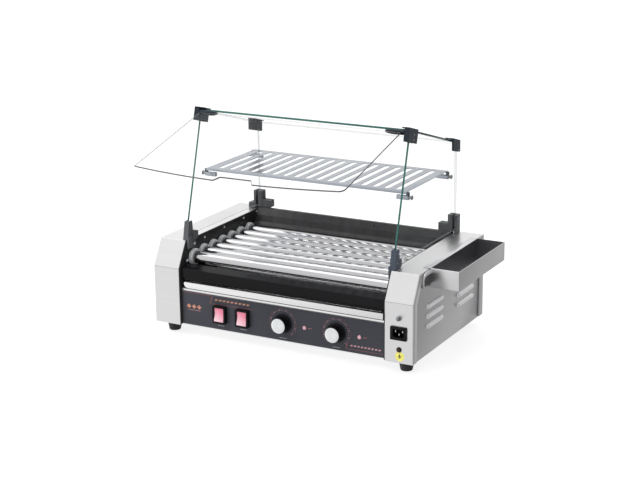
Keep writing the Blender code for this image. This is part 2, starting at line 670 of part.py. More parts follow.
def flap_outline():
    """The flap laid flat, its hinge along y = 0 and its free edge towards -y, with a finger notch."""
    (left, right), (near, far), half = FLAP_X, FLAP_CORNERS, NOTCH_W / 2
    points = [(right, -0.0016), (left, -0.0016)]
    points += arc((left + near, near - free_edge(left + near)), near, 180, 270)
    points += [(x, -free_edge(x)) for x in (-0.17, -0.12, -0.08)]
    points += [(-half, -free_edge(half)), (-half + 0.008, -free_edge(0) + NOTCH_D)]
    points += [(half - 0.008, -free_edge(0) + NOTCH_D), (half, -free_edge(half))]
    points += [(x, -free_edge(x)) for x in (0.08, 0.12, 0.17)]
    points += arc((right - far, far - free_edge(right - far)), far, 270, 360)
    return points


def flap():
    """The clear front flap and the two hinge clips that grip its top edge."""
    swing = Matrix.Translation((0, HINGE_Y, HINGE_Z)) @ Matrix.Rotation(FLAP_ANGLE, 4, "X")
    sheet = prism("front_flap", [flap_outline()], (-FLAP_T / 2, FLAP_T / 2), "Z", ACRYLIC)
    sheet.matrix_basis = swing
    slot = box("clip_slot", (-0.24, -0.02, -FLAP_T / 2 - 0.0003), (0.24, -0.0012, FLAP_T / 2 + 0.0003))
    slot.matrix_basis = swing @ slot.matrix_basis
    pin = [(0, 0.2350), (0.0021, 0.2350), (0.0021, 0.2272), (0.0050, 0.2272), (0.0052, 0.2050),
           (0.0046, 0.1960), (0.0024, 0.1870), (0, 0.1860)]
    for word, axis in (("left", "-X"), ("right", "X")):
        clip = turned(f"{word}_flap_hinge", pin, (0, HINGE_Y, HINGE_Z), axis, BLACK_PLASTIC, 16)
        cut(clip, slot)


def bun_shelf():
    """A slotted shelf with turned-down edges, held by four pins through the side panes."""
    front, back = SHELF_Y
    path = [(front, SHELF_Z - 0.0045), (front, SHELF_Z), (back, SHELF_Z), (back, SHELF_Z - 0.0045)]
    shelf = prism("bun_shelf", [bent_sheet(path, -SHEET)], (-SHELF_X, SHELF_X), "X", STEEL)
    slots = []
    for i in range(17):
        x = -0.200 + 0.025 * i
        slots.append(rectangle((x - 0.006, front + 0.014), (x + 0.006, back - 0.014)))
    cut(shelf, prism("shelf_slots", slots, (SHELF_Z - 0.005, SHELF_Z + 0.005), "Z"))
    for word, side in (("left", -1), ("right", 1)):
        for y in STUD_Y:
            (low_x, high_x), (low_z, high_z) = mirrored((0.203, PANE_X - GAP), side), LUG_Z
            lug = box(f"{word}_shelf_lug", (low_x, y - 0.0036, low_z), (high_x, y + 0.0036, high_z))
            low_x, high_x = mirrored((0.2235, PANE_X - GAP), side)
            arm = box(f"{word}_shelf_arm", (low_x, y - 0.0036, low_z), (high_x, y + 0.0036, SHELF_Z - 0.0006))
            outer = PANE_OUT + GAP
            stud = [(0, 0.2368), (0.0035, 0.2368), (0.0046, 0.2358), (0.0046, outer), (0.0026, outer),
                    (0.0026, 0.220), (0, 0.220)]
            axis = "X" if side > 0 else "-X"
            fuse(shelf, lug, arm, turned(f"{word}_shelf_stud", stud, (0, y, STUD_Z), axis, None, 12))


def utensil_caddy():
    """An open trough hooked over the right casing's edge, with a back plate that runs on forwards."""
    low, high = (CADDY_X[0], CADDY_Y[0], CADDY_Z[0]), (CADDY_X[1], CADDY_Y[1], CADDY_Z[1])
    caddy = box("utensil_caddy", low, high, STEEL)
    inner = [(CADDY_X[0] + SHEET, CADDY_Y[0] + SHEET, CADDY_Z[0] + SHEET),
             (CADDY_X[1] - SHEET, CADDY_Y[1] - SHEET, CADDY_Z[1] + 0.02)]
    cut(caddy, box("caddy_room", *inner))
    hook = bent_sheet([(CADDY_X[0] + SHEET, CADDY_Z[1] - 0.006), (CADDY_X[0] + SHEET, TOP_Z + GAP + SHEET),
                       (0.2760, TOP_Z + GAP + SHEET)], SHEET)
    fuse(caddy, prism("caddy_hook", [hook], CADDY_Y, "Y"))
    plate = [(0.0380, CADDY_Z[0]), (CADDY_Y[0] + 0.002, CADDY_Z[0]), (CADDY_Y[0] + 0.002, 0.1920)]
    plate += arc((0.0540, 0.1760), 0.0160, 90, 180)
    fuse(caddy, prism("caddy_back_plate", [plate], (CADDY_X[0], CADDY_X[0] + SHEET), "X"))


def build():
    base_pan()
    casing("left_casing", -1)
    right_casing_holes(casing("right_casing", 1))
    side_panel("left_side_panel", -1)
    side_panel("right_side_panel", 1)
    roller_plate("left_roller_plate", -1)
    fuse_right_seals(roller_plate("right_roller_plate", 1))
    left_seals()
    rollers()
    drive()
    front_fascia()
    control_panel()
    rear_panel()
    feet()
    power_inlet()
    casing_buttons()
    switches()
    knobs()
    lamps()
    drip_tray()
    panes()
    hood_fittings()
    flap()
    bun_shelf()
    utensil_caddy()


build()
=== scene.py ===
"""The looks of a hot dog roller grill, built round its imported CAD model.

Shapes are drawn in the machine's own frame, in metres: X = 0 is the middle of the body, Y = 0 is the front
of the side casings and Z = 0 is the counter. SHIFT moves them to the model's frame, whose origin is the
middle of the whole machine's footprint.
"""

import math

import bmesh
import bpy
from mathutils import Matrix, Vector


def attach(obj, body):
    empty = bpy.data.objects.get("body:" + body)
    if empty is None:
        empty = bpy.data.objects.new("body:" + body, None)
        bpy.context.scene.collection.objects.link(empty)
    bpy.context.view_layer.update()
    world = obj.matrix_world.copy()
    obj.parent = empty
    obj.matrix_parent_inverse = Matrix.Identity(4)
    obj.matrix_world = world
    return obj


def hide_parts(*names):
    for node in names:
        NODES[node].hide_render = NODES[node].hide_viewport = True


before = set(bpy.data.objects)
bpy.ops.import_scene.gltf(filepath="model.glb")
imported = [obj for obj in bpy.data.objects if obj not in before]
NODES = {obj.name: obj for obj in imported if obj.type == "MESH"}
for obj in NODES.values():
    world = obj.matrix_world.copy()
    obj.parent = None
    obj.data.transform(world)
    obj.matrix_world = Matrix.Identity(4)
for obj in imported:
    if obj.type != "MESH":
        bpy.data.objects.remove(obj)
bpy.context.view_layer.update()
SHIFT = Vector((-0.0295, -0.0892, 0.0))
STAND = Matrix.Translation(SHIFT)
scene = bpy.context.scene

# Dimensions shared with the CAD model
HALF_W = 0.29
CASING_X = 0.231
INNER_X = 0.2291
PLATE_X = 0.2306
SHEET = 0.0012
BASE_Z = 0.022
TOP_Z = 0.193
NOSE_Z = 0.141
NOSE_D = 0.0286
DEPTH = 0.34
FRONT_Y = 0.0066
ROLLERS = 7
ROLLER_Y = 0.052
PITCH = 0.0366
ROLLER_Z = 0.154
ROLLER_R = 0.0125
TUBE_X = 0.2205
SWITCH_X = (-0.1375, -0.085)
SWITCH_Z = 0.0573
KNOB_X = (0.0057, 0.1245)
KNOB_Z = 0.06
LAMP_X = (0.0545, 0.1746)
LAMP_Z = 0.0586
INLET = (0.2602, 0.0815)
RESET = (0.2607, 0.1116)
EARTH = (0.261, 0.049)
PANE_T = 0.004
PANE_X = 0.23
PANE_OUT = PANE_X + PANE_T
HOOD_FOOT_Z = 0.201
HOOD_FRONT_Y = 0.034
HOOD_LEAN = 0.28
HOOD_TOP_Z = 0.4462
HOOD_BACK_Y = 0.3275
HOOD_BACK_Z = 0.3792
HOOD_TOP_Y = HOOD_FRONT_Y + HOOD_LEAN * (HOOD_TOP_Z - HOOD_FOOT_Z)
TILT = math.atan2(HOOD_TOP_Z - HOOD_BACK_Z, HOOD_BACK_Y - HOOD_TOP_Y)
HINGE = (0.092, 0.4462)
FLAP_ANGLE = math.radians(14.5)
FLAP_X = (-0.227, 0.2205)
FLAP_LENGTH = 0.2445
FLAP_BOW = 0.0175
SHELF_Z = 0.328
SHELF_Y = (0.105, 0.3)
SHELF_X = 0.2255
STUD_Y = (0.109, 0.296)
STUD_Z = 0.317
LUG_Z = (0.3118, 0.3204)
SIDES = (("left", -1), ("right", 1))
LOUVRE_Y = ((0.062, 0.137), (0.208, 0.288))
LOUVRE_Z = (0.079, 0.099, 0.119)
SPROCKET_X = (-0.243, -0.239)
SPROCKET_R = 0.0146


# Camera and light

CAMERA_AT = (1.444, -2.496, 1.057)
CAMERA_ANGLES = (28.41, 16.0, -0.55)
ROOM_DRIFT = (-0.56, 0.06, 0.12)
ROOM_LEVEL = 0.9
SOFTBOX_AIM = (-0.459, -0.1, 0.883)
SOFTBOX_GLOW = 1.3
FLOOR_SIZE = 8.0


def look(azimuth, elevation, roll):
    """A camera's right, up and back directions, from angles in degrees."""
    az, el, tip = (math.radians(angle) for angle in (azimuth, elevation, roll))
    back = Vector((math.sin(az) * math.cos(el), -math.cos(az) * math.cos(el), math.sin(el)))
    right = (-back).cross(Vector((0, 0, 1))).normalized()
    up = right.cross(-back)
    turned_right = right * math.cos(tip) + up * math.sin(tip)
    turned_up = up * math.cos(tip) - right * math.sin(tip)
    return turned_right, turned_up, back


def make_camera():
    data = bpy.data.cameras.new("view")
    data.lens = 87.33
    data.sensor_width = 36
    data.clip_end = 50
    camera = bpy.data.objects.new("view", data)
    scene.collection.objects.link(camera)
    place = Matrix([[*row, 0] for row in zip(*look(*CAMERA_ANGLES))] + [[0, 0, 0, 1]])
    place.translation = Vector(CAMERA_AT) + SHIFT
    camera.matrix_world = place
    scene.camera = camera


def area_light(name, at, target, size, power):
    data = bpy.data.lights.new(name, "AREA")
    data.shape = "DISK"
    data.size = size
    data.energy = power
    lamp = bpy.data.objects.new(name, data)
    scene.collection.objects.link(lamp)
    lamp.location = at
    lamp.rotation_euler = (Vector(target) - Vector(at)).to_track_quat("-Z", "Y").to_euler()
    lamp.visible_glossy = False


def wired(tree, kind, inputs, operation=None):
    """A new shader node, each input of which is set to a value or linked to another node's output."""
    node = tree.nodes.new("ShaderNode" + kind)
    if operation:
        node.operation = operation
    for socket, given in inputs.items():
        if isinstance(given, bpy.types.NodeSocket):
            tree.links.new(given, node.inputs[socket])
        else:
            node.inputs[socket].default_value = given
    return node


def make_light():
    """A pale room, brighter to the left, with a softbox overhead, seen plain by the camera, and two lamps."""
    world = bpy.data.worlds.new("studio")
    world.use_nodes = True
    scene.world = world
    tree = world.node_tree
    tree.nodes.clear()
    direction = wired(tree, "TexCoord", {}).outputs["Generated"]
    drift = wired(tree, "VectorMath", {0: direction, 1: ROOM_DRIFT}, "DOT_PRODUCT").outputs["Value"]
    level = wired(tree, "Math", {0: drift, 1: ROOM_LEVEL}, "ADD").outputs[0]
    aim = wired(tree, "VectorMath", {0: direction, 1: SOFTBOX_AIM}, "DOT_PRODUCT").outputs["Value"]
    fade = {"Value": aim, "From Min": 0.915, "From Max": 0.98, "To Max": SOFTBOX_GLOW}
    softbox = wired(tree, "MapRange", fade).outputs[0]
    strength = wired(tree, "Math", {0: level, 1: softbox}, "ADD").outputs[0]
    room = wired(tree, "Background", {"Strength": strength}).outputs[0]
    backdrop = wired(tree, "Background", {"Strength": 1.0}).outputs[0]
    seen = wired(tree, "LightPath", {}).outputs["Is Camera Ray"]
    mix = wired(tree, "MixShader", {0: seen, 1: room, 2: backdrop}).outputs[0]
    wired(tree, "OutputWorld", {"Surface": mix})
    area_light("key", (-1.6, -2.0, 2.6), (0, 0, 0.1), 1.8, 40)
    area_light("top", (0.3, 0.4, 2.8), (0, 0.1, 0.1), 2.2, 40)
    scene.view_settings.view_transform = "Standard"
    scene.view_settings.look = "None"


def make_floor():
    mesh = bpy.data.meshes.new("floor")
    corners = [(x * FLOOR_SIZE, y * FLOOR_SIZE, 0) for x, y in ((-1, -1), (1, -1), (1, 1), (-1, 1))]
    mesh.from_pydata(corners, [], [(0, 1, 2, 3)])
    floor = bpy.data.objects.new("floor", mesh)
    floor.location.z = -0.0004
    scene.collection.objects.link(floor)
    paper = bpy.data.materials.new("paper")
    paper.use_nodes = True
    shader = paper.node_tree.nodes["Principled BSDF"]
    white = (1, 1, 1, 1)
    paint = {"Base Color": (0.3, 0.3, 0.3, 1), "Emission Color": white, "Emission Strength": 0.8,
             "Roughness": 0.9, "Specular IOR Level": 0.0}
    for socket, value in paint.items():
        shader.inputs[socket].default_value = value
    mesh.materials.append(paper)
    floor.visible_glossy = False


# Materials

class Surface:
    """A Principled material and short calls for wiring procedural textures into it."""

    def __init__(self, name, colour, roughness, metallic=0.0, **sockets):
        self.material = bpy.data.materials.new(name)
        self.material.use_nodes = True
        self.tree = self.material.node_tree
        self.shader = self.tree.nodes["Principled BSDF"]
        self.colour = colour
        self.shader.inputs["Base Color"].default_value = (*colour, 1)
        self.shader.inputs["Roughness"].default_value = roughness
        self.shader.inputs["Metallic"].default_value = metallic
        for socket, value in sockets.items():
            self.shader.inputs[socket.replace("_", " ")].default_value = value
        self.coords = self.tree.nodes.new("ShaderNodeTexCoord").outputs["Object"]

    def node(self, kind, inputs, operation=None):
        return wired(self.tree, kind, inputs, operation)

    def drive(self, socket, output):
        """Feeds an output to one of the shader's sockets."""
        self.tree.links.new(output, self.shader.inputs[socket])
        return self

    def noise(self, scale, detail=3.0, stretch=(1, 1, 1)):
        stretched = self.node("Mapping", {"Vector": self.coords, "Scale": stretch}).outputs[0]
        return self.node("TexNoise", {"Vector": stretched, "Scale": scale, "Detail": detail}).outputs["Fac"]

    def ramp(self, value, low, high, start=0.3, end=0.7):
        """The colours low and high, blended by a value from start to end."""
        node = self.node("ValToRGB", {0: value})
        for stop, place, colour in zip(node.color_ramp.elements, (start, end), (low, high)):
            stop.position = place
            stop.color = (*colour, 1)
        return node.outputs["Color"]

    def tint(self, value, amount, start=0.3, end=0.7):
        """The base colour, made darker and lighter by an amount."""
        low = tuple(c * (1 - amount) for c in self.colour)
        high = tuple(min(1.0, c * (1 + amount)) for c in self.colour)
        return self.drive("Base Color", self.ramp(value, low, high, start, end))

    def rough(self, value, low, high, start=0.3, end=0.7):
        return self.drive("Roughness", self.ramp(value, (low,) * 3, (high,) * 3, start, end))

    def bump(self, value, height, strength=0.3):
        node = self.node("Bump", {"Distance": height, "Strength": strength, "Height": value})
        return self.drive("Normal", node.outputs[0])


def steel(name, colour, stretch, rough=(0.3, 0.42), contrast=0.05):
    """Stainless sheet with a brushed grain, fine across the stretch's large numbers, and faint cloudiness."""
    made = Surface(name, colour, 0.35, 1.0)
    grain = made.noise(1.0, 2.0, stretch)
    made.tint(grain, contrast)
    made.rough(made.noise(9.0, 3.0), *rough)
    made.bump(grain, 0.00004, 0.25)
    return made.material


def plastic(name, colour, rough, grain=900.0, height=0.00004, **sockets):
    """Moulded plastic with a fine spark-eroded texture."""
    made = Surface(name, colour, rough, **sockets)
    made.tint(made.noise(35.0, 3.0), 0.12)
    made.rough(made.noise(60.0, 2.0), rough * 0.85, min(1.0, rough * 1.15))
    made.bump(made.noise(grain, 2.0), height, 0.35)
    return made.material


def enamel(name, colour, rough=0.16, spec=0.4):
    """Glossy black stoving enamel with slight orange peel."""
    made = Surface(name, colour, rough, Specular_IOR_Level=spec)
    made.tint(made.noise(6.0, 3.0), 0.25)
    made.rough(made.noise(18.0, 4.0), rough * 0.8, rough * 1.4)
    made.bump(made.noise(260.0, 1.0), 0.00005, 0.12)
    return made.material


BRUSHED = (6, 6, 900)


def shaded_side_steel(name, front, side, edge):
    """Casing steel with painted shade: a darker tone from the X on, where its outer side begins and turns
    away from the light.
    """
    made = Surface(name, (front,) * 3, 0.36, 1.0)
    grain = made.noise(1.0, 2.0, BRUSHED)
    across = made.node("SeparateXYZ", {0: made.coords}).outputs["X"]
    side_shade_tone = made.ramp(across, (front,) * 3, (side,) * 3, edge, edge + 0.0003)
    shade = made.ramp(grain, (0.96,) * 3, (1.0,) * 3)
    made.drive("Base Color", made.node("VectorMath", {0: side_shade_tone, 1: shade}, "MULTIPLY").outputs[0])
    made.rough(made.noise(9.0, 3.0), 0.3, 0.42)
    return made.bump(grain, 0.00004, 0.15).material


# The casings' lit front tone, used only for the painted highlight strip along each side's flange edge.
STEEL_RIM_HIGHLIGHT = steel("steel_rim_highlight", (0.83, 0.83, 0.84), BRUSHED, contrast=0.025)
# A darker copy of the casing steel: painted shade on the side covers, their rear laps and the base pan, which
# face away from the light.
STEEL_SIDE_SHADE = steel("steel_side_shade", (0.61, 0.61, 0.62), BRUSHED, (0.3, 0.4), 0.03)
# The casings' steel, with painted shade on the right casing's outer side.
STEEL_CASING = shaded_side_steel("steel_casing", 0.85, 0.61, HALF_W + SHIFT.x - 0.0006)
# The side panel's steel, made lighter on its pressed louvres as painted highlight.
LOUVRE_LIT_STEEL = steel("steel_louvre_lit", (0.92, 0.92, 0.93), BRUSHED, (0.24, 0.34), 0.03)
STEEL_CADDY = steel("steel_caddy", (0.84, 0.84, 0.85), BRUSHED, (0.3, 0.4), 0.03)
# Painted shade: the caddy's outer side, turned away from the light.
CADDY_SIDE_SHADE = steel("steel_caddy_side_shade", (0.6, 0.6, 0.61), BRUSHED, (0.3, 0.4), 0.03)
# Painted shade: steel in deep shade, as on the caddy's forward plate inside its rim.
STEEL_DEEP_SHADE = steel("steel_shaded", (0.1, 0.1, 0.104), BRUSHED, (0.34, 0.46), 0.1)
# Painted shade: the inside of the caddy's trough.
CADDY_INSIDE_SHADE = steel("steel_caddy_inside_shade", (0.34, 0.34, 0.35), BRUSHED, (0.34, 0.46), 0.05)
STEEL_TRAY = steel("steel_tray", (0.93, 0.93, 0.93), (5, 700, 700), (0.22, 0.32))
STEEL_SHELF = steel("steel_shelf", (0.42, 0.45, 0.5), (8, 500, 500), (0.18, 0.28))
SHELF_DARK = steel("shelf_bends", (0.1, 0.11, 0.12), (500, 8, 500), (0.28, 0.4), 0.15)
STUD_DARK = steel("stud_plate", (0.34, 0.36, 0.38), (400, 400, 400), (0.25, 0.35), 0.1)
CHROME = Surface("roller_chrome", (0.6, 0.6, 0.61), 0.1, 1.0)
CHROME.tint(CHROME.noise(1.0, 2.0, (900, 3, 3)), 0.03)
CHROME.rough(CHROME.noise(30.0, 4.0), 0.06, 0.15)
CHROME = CHROME.material
BLACK = enamel("black_enamel", (0.007, 0.007, 0.008), 0.14, 0.13)
# Rear splash enamel: its streaked tint is painted reflection, standing in for streaks of light that the bent
# sheet reflects.
SPLASH = Surface("splash_enamel", (0.036, 0.036, 0.038), 0.34, Specular_IOR_Level=0.3)
SPLASH.tint(SPLASH.noise(1.0, 4.0, (70, 70, 6)), 0.2)
SPLASH = SPLASH.rough(SPLASH.noise(1.0, 3.0, (90, 90, 8)), 0.26, 0.46).material
PLATE_BLACK = enamel("plate_enamel", (0.022, 0.022, 0.022), 0.3, 0.25)
HOOD_PLASTIC = plastic("hood_plastic", (0.016, 0.022, 0.03), 0.4, Specular_IOR_Level=0.2)
POST_SLATE = plastic("post_slate", (0.058, 0.072, 0.098), 0.4, Specular_IOR_Level=0.2)
POST_GREY = plastic("post_grey", (0.095, 0.1, 0.106), 0.42, Specular_IOR_Level=0.2)
SWITCH_PLASTIC = plastic("switch_plastic", (0.006, 0.006, 0.007), 0.34, Specular_IOR_Level=0.12)
KNOB_PLASTIC = plastic("knob_plastic", (0.004, 0.004, 0.005), 0.3, Specular_IOR_Level=0.15)
SEAL = plastic("seal_plastic", (0.64, 0.65, 0.66), 0.45)
RUBBER = plastic("foot_rubber", (0.012, 0.012, 0.013), 0.62, 500.0, 0.0001)
ZINC = steel("zinc_plate", (0.62, 0.62, 0.64), (300, 300, 300), (0.25, 0.38))
PIN_PLATE = steel("pin_plate", (0.66, 0.65, 0.62), (300, 300, 300), (0.22, 0.3))
# Screw heads made near-white and half matt: partly their bright plating, partly a painted highlight standing
# in for their glints.
HEAD_GLINT = Surface("heads_glint", (0.92, 0.92, 0.93), 0.35, 0.25)
HEAD_GLINT = HEAD_GLINT.tint(HEAD_GLINT.noise(400.0, 2.0), 0.06).material
CHAIN = steel("chain_steel", (0.2, 0.2, 0.21), (400, 400, 400), (0.35, 0.5), 0.2)
EARTH_DARK = steel("earth_stud", (0.075, 0.055, 0.04), (400, 400, 400), (0.4, 0.55), 0.2)
CAP = steel("knob_cap", (0.91, 0.94, 0.95), (60, 60, 500), (0.26, 0.4), 0.09)


def slate():
    """The printed panel: faintly mottled dark slate under a satin film."""
    made = Surface("slate_overlay", (0.043, 0.045, 0.056), 0.36, Specular_IOR_Level=0.25)
    made.tint(made.noise(4.0, 2.0, (1.0, 1, 2.0)), 0.22, 0.25, 0.75)
    made.rough(made.noise(80.0, 3.0), 0.28, 0.42)
    made.bump(made.noise(1200.0, 1.0), 0.00002, 0.2)
    return made.material


# Flat ink for the print, also used for the painted shadow and shade lines.
def print_and_shade_ink(name, colour):
    made = Surface(name, colour, 0.5)
    made.tint(made.noise(700.0, 2.0), 0.25)
    return made.material


def lens(name, colour, glow, strength, pale=None, fade=(0, 0, 0)):
    """Tinted clear plastic with a lamp behind it, paler against the direction of fade."""
    made = Surface(name, colour, 0.16, Coat_Weight=0.4)
    if pale:
        along = made.node("VectorMath", {0: made.coords, 1: fade}, "DOT_PRODUCT").outputs["Value"]
        place = made.node("Math", {0: along, 1: 0.5}, "ADD").outputs[0]
        made.drive("Base Color", made.ramp(place, pale, colour, 0.15, 0.75))
    else:
        made.tint(made.noise(160.0, 2.0), 0.1)
    made.rough(made.noise(90.0, 2.0), 0.12, 0.22)
    made.shader.inputs["Emission Color"].default_value = (*glow, 1)
    made.shader.inputs["Emission Strength"].default_value = strength
    return made.material


def clear(name, colour, alpha, rough=0.03):
    """A clear pane's face: mostly see-through, with the room's reflection on it."""
    made = Surface(name, colour, rough, Alpha=alpha, Specular_IOR_Level=0.25)
    made.tint(made.noise(2.5, 2.0), 0.03)
    made.rough(made.noise(14.0, 3.0), rough, rough * 2.0)
    return made.material


def pane_edge(name, colour, alpha=0.92):
    """The cut and polished edge of a pane, which shows its body colour."""
    made = Surface(name, colour, 0.22, Alpha=alpha)
    made.tint(made.noise(55.0, 3.0), 0.18)
    made.rough(made.noise(120.0, 2.0), 0.16, 0.3)
    return made.material


SLATE = slate()
RED_INK = print_and_shade_ink("red_ink", (0.26, 0.075, 0.085))
PALE_INK = print_and_shade_ink("pale_ink", (0.46, 0.24, 0.26))
GREY_INK = print_and_shade_ink("grey_ink", (0.26, 0.27, 0.3))
ORANGE_INK = print_and_shade_ink("orange_ink", (0.52, 0.22, 0.14))
ROCKER_RED = lens("rocker_red", (0.72, 0.19, 0.29), (1.0, 0.3, 0.42), 0.06, (0.76, 0.52, 0.57), (0, 26, 16))
LAMP_RED = lens("lamp_red", (0.66, 0.36, 0.4), (1.0, 0.62, 0.68), 0.05)
GLASS = clear("glass_face", (0.38, 0.42, 0.41), 0.03)
GLASS_EDGE = pane_edge("glass_edge", (0.022, 0.115, 0.095), 1.0)
GLASS_SIDE = pane_edge("glass_side", (0.01, 0.03, 0.03), 1.0)
GLASS_PALE = pane_edge("glass_pale", (0.27, 0.29, 0.3), 0.36)
ACRYLIC = clear("acrylic_face", (0.38, 0.39, 0.4), 0.035)
ACRYLIC_EDGE = pane_edge("acrylic_edge", (0.1, 0.1, 0.11), 1.0)
ACRYLIC_PALE = pane_edge("acrylic_pale", (0.5, 0.5, 0.5), 0.4)
LABEL = print_and_shade_ink("label_yellow", (0.8, 0.74, 0.16))
LABEL_INK = print_and_shade_ink("label_ink", (0.05, 0.05, 0.008))
# Painted shadow for narrow gaps and the dark lines at panel edges.
GAP_SHADOW = print_and_shade_ink("seam_shadow", (0.06, 0.06, 0.065))
# Painted shade along sheet-metal bends.
FOLD_SHADE = print_and_shade_ink("fold_shadow", (0.2, 0.2, 0.205))


# Shapes

PLANES = {"X": (math.pi / 2, 0, math.pi / 2), "Y": (math.pi / 2, 0, 0), "Z": (0, 0, 0)}
TURNS = {"X": (0, math.pi / 2, 0), "-X": (0, -math.pi / 2, 0), "-Y": (math.pi / 2, 0, 0), "Z": (0, 0, 0)}


def keep(obj, replaced=(), body="machine", smooth=32):
    """Shades a finished piece, stands it in the model's frame and hands it to its body."""
    if obj.name not in scene.collection.objects:
        scene.collection.objects.link(obj)
    if smooth is not None:
        for face in obj.data.polygons:
            face.use_smooth = True
        obj.data.set_sharp_from_angle(angle=math.radians(smooth))
    bpy.context.view_layer.update()
    obj.matrix_world = STAND @ obj.matrix_world
    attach(obj, body)
    if replaced:
        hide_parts(*replaced)
    return obj


def finished(name, shape, finishes):
    mesh = bpy.data.meshes.new(name)
    shape.to_mesh(mesh)
    shape.free()
    for finish in finishes:
        mesh.materials.append(finish)
    obj = bpy.data.objects.new(name, mesh)
    scene.collection.objects.link(obj)
    return obj


def baked(obj):
    """The object with its modifiers applied."""
    bpy.context.view_layer.update()
    graph = bpy.context.evaluated_depsgraph_get()
    mesh = bpy.data.meshes.new_from_object(obj.evaluated_get(graph))
    name, pose = obj.name, obj.matrix_world.copy()
    bpy.data.objects.remove(obj)
    solid = bpy.data.objects.new(name, mesh)
    scene.collection.objects.link(solid)
    solid.matrix_world = pose
    return solid


def soften(obj, width, segments, angle, weld_within):
    """Adds modifiers that bevel every edge sharper than an angle."""
    weld = obj.modifiers.new("weld", "WELD")
    weld.merge_threshold = weld_within
    bevel = obj.modifiers.new("bevel", "BEVEL")
    bevel.width = width
    bevel.segments = segments
    bevel.limit_method = "ANGLE"
    bevel.angle_limit = math.radians(angle)


def round_edges(obj, width, segments=2):
    soften(obj, width, segments, 30, 1e-6)
    return baked(obj)


def prism(name, outlines, span, axis, finish, bevel=0.0, segments=2):
    """Flat outlines, the inner ones holes, drawn out along an axis."""
    curve = bpy.data.curves.new(name, "CURVE")
    curve.dimensions = "2D"
    curve.fill_mode = "BOTH"
    curve.extrude = abs(span[1] - span[0]) / 2
    for outline in outlines:
        spline = curve.splines.new("POLY")
        spline.points.add(len(outline) - 1)
        for point, (x, y) in zip(spline.points, outline):
            point.co = (x, y, 0, 1)
        spline.use_cyclic_u = True
    obj = bpy.data.objects.new(name, curve)
    scene.collection.objects.link(obj)
    middle = (span[0] + span[1]) / 2
    obj.location = Vector([middle if letter == axis else 0 for letter in "XYZ"])
    obj.rotation_euler = PLANES[axis]
    curve.materials.append(finish)
    obj = baked(obj)
    if bevel:
        obj = round_edges(obj, bevel, segments)
    return obj


def box(name, low, high, finish, bevel=0.0, segments=2):
    shape = bmesh.new()
    bmesh.ops.create_cube(shape, size=1.0)
    size = Vector(high) - Vector(low)
    bmesh.ops.scale(shape, vec=size, verts=shape.verts)
    obj = finished(name, shape, [finish])
    obj.location = (Vector(low) + Vector(high)) / 2
    bpy.context.view_layer.update()
    return round_edges(obj, bevel, segments) if bevel else obj


def turned(name, profile, at, axis, finish, steps=48, ring=False):
    """A turned piece from (radius, height) points."""
    shape = bmesh.new()
    points = [shape.verts.new((radius, 0, height)) for radius, height in profile]
    edges = [shape.edges.new(pair) for pair in zip(points, points[1:])]
    if ring:
        edges.append(shape.edges.new((points[-1], points[0])))
    bmesh.ops.spin(shape, geom=points + edges, axis=(0, 0, 1), cent=(0, 0, 0), steps=steps,
                   angle=2 * math.pi, use_merge=True)
    bmesh.ops.remove_doubles(shape, verts=shape.verts, dist=1e-6)
    bmesh.ops.recalc_face_normals(shape, faces=shape.faces)
    obj = finished(name, shape, [finish])
    obj.location = at
    obj.rotation_euler = TURNS[axis]
    return obj


def joined(name, objects):
    """One object out of several."""
    shape = bmesh.new()
    finishes = []
    for obj in objects:
        bpy.context.view_layer.update()
        mesh = obj.data.copy()
        mesh.transform(obj.matrix_world)
        for slot in mesh.materials:
            if slot not in finishes:
                finishes.append(slot)
        order = [finishes.index(slot) for slot in mesh.materials]
        for face in mesh.polygons:
            face.material_index = order[face.material_index]
        shape.from_mesh(mesh)
        bpy.data.objects.remove(obj)
    return finished(name, shape, finishes)


def cut(obj, *tools):
    for tool in tools:
        step = obj.modifiers.new("cut", "BOOLEAN")
        step.operation = "DIFFERENCE"
        step.solver = "EXACT"
        step.object = tool
    solid = baked(obj)
    for tool in tools:
        bpy.data.objects.remove(tool)
    return solid


def circle(x, y, radius, sides=32):
    turn = 2 * math.pi / sides
    return [(x + radius * math.cos(turn * i), y + radius * math.sin(turn * i)) for i in range(sides)]


def rectangle(low, high):
    return [low, (high[0], low[1]), high, (low[0], high[1])]


def rounded(low, high, radius, steps=4):
    """A rectangle with round corners."""
    points = []
    corners = [high, (low[0], high[1]), low, (high[0], low[1])]
    for (x, y), start in zip(corners, (0, 90, 180, 270)):
        middle_x = x - radius if x == high[0] else x + radius
        middle_y = y - radius if y == high[1] else y + radius
        points += arc((middle_x, middle_y), radius, start, start + 90, steps)
    return points


def arc(centre, radius, start, end, steps=6):
    angles = [math.radians(start + (end - start) * i / steps) for i in range(steps + 1)]
    return [(centre[0] + radius * math.cos(a), centre[1] + radius * math.sin(a)) for a in angles]


def offset(points, distance):
    """A closed outline moved inwards, if it runs anticlockwise, with mitred corners."""
    moved = []
    for i, point in enumerate(points):
        here = Vector(point)
        first = (here - Vector(points[i - 1])).normalized()
        second = (Vector(points[(i + 1) % len(points)]) - here).normalized()
        normals = [Vector((-run.y, run.x)) for run in (first, second)]
        moved.append(tuple(here + (normals[0] + normals[1]) * distance / (1 + normals[0].dot(normals[1]))))
    return moved


def casing_outline(inset=0.0, bottom=BASE_Z):
    outer = [(0, BASE_Z), (DEPTH, BASE_Z), (DEPTH, TOP_Z), (NOSE_D, TOP_Z), (0, NOSE_Z)]
    return [(y, bottom if i < 2 else z) for i, (y, z) in enumerate(offset(outer, inset))]


def mirrored(span, side):
    return tuple(sorted(side * x for x in span))


def roller_y(number):
    return ROLLER_Y + (number - 1) * PITCH


def dress(node, finish, bevel=0.0004, segments=2):
    """Gives a CAD node its finish and softens its edges."""
    obj = NODES[node]
    obj.data.materials.clear()
    obj.data.materials.append(finish)
    if bevel:
        soften(obj, bevel, segments, 40, 1e-5)


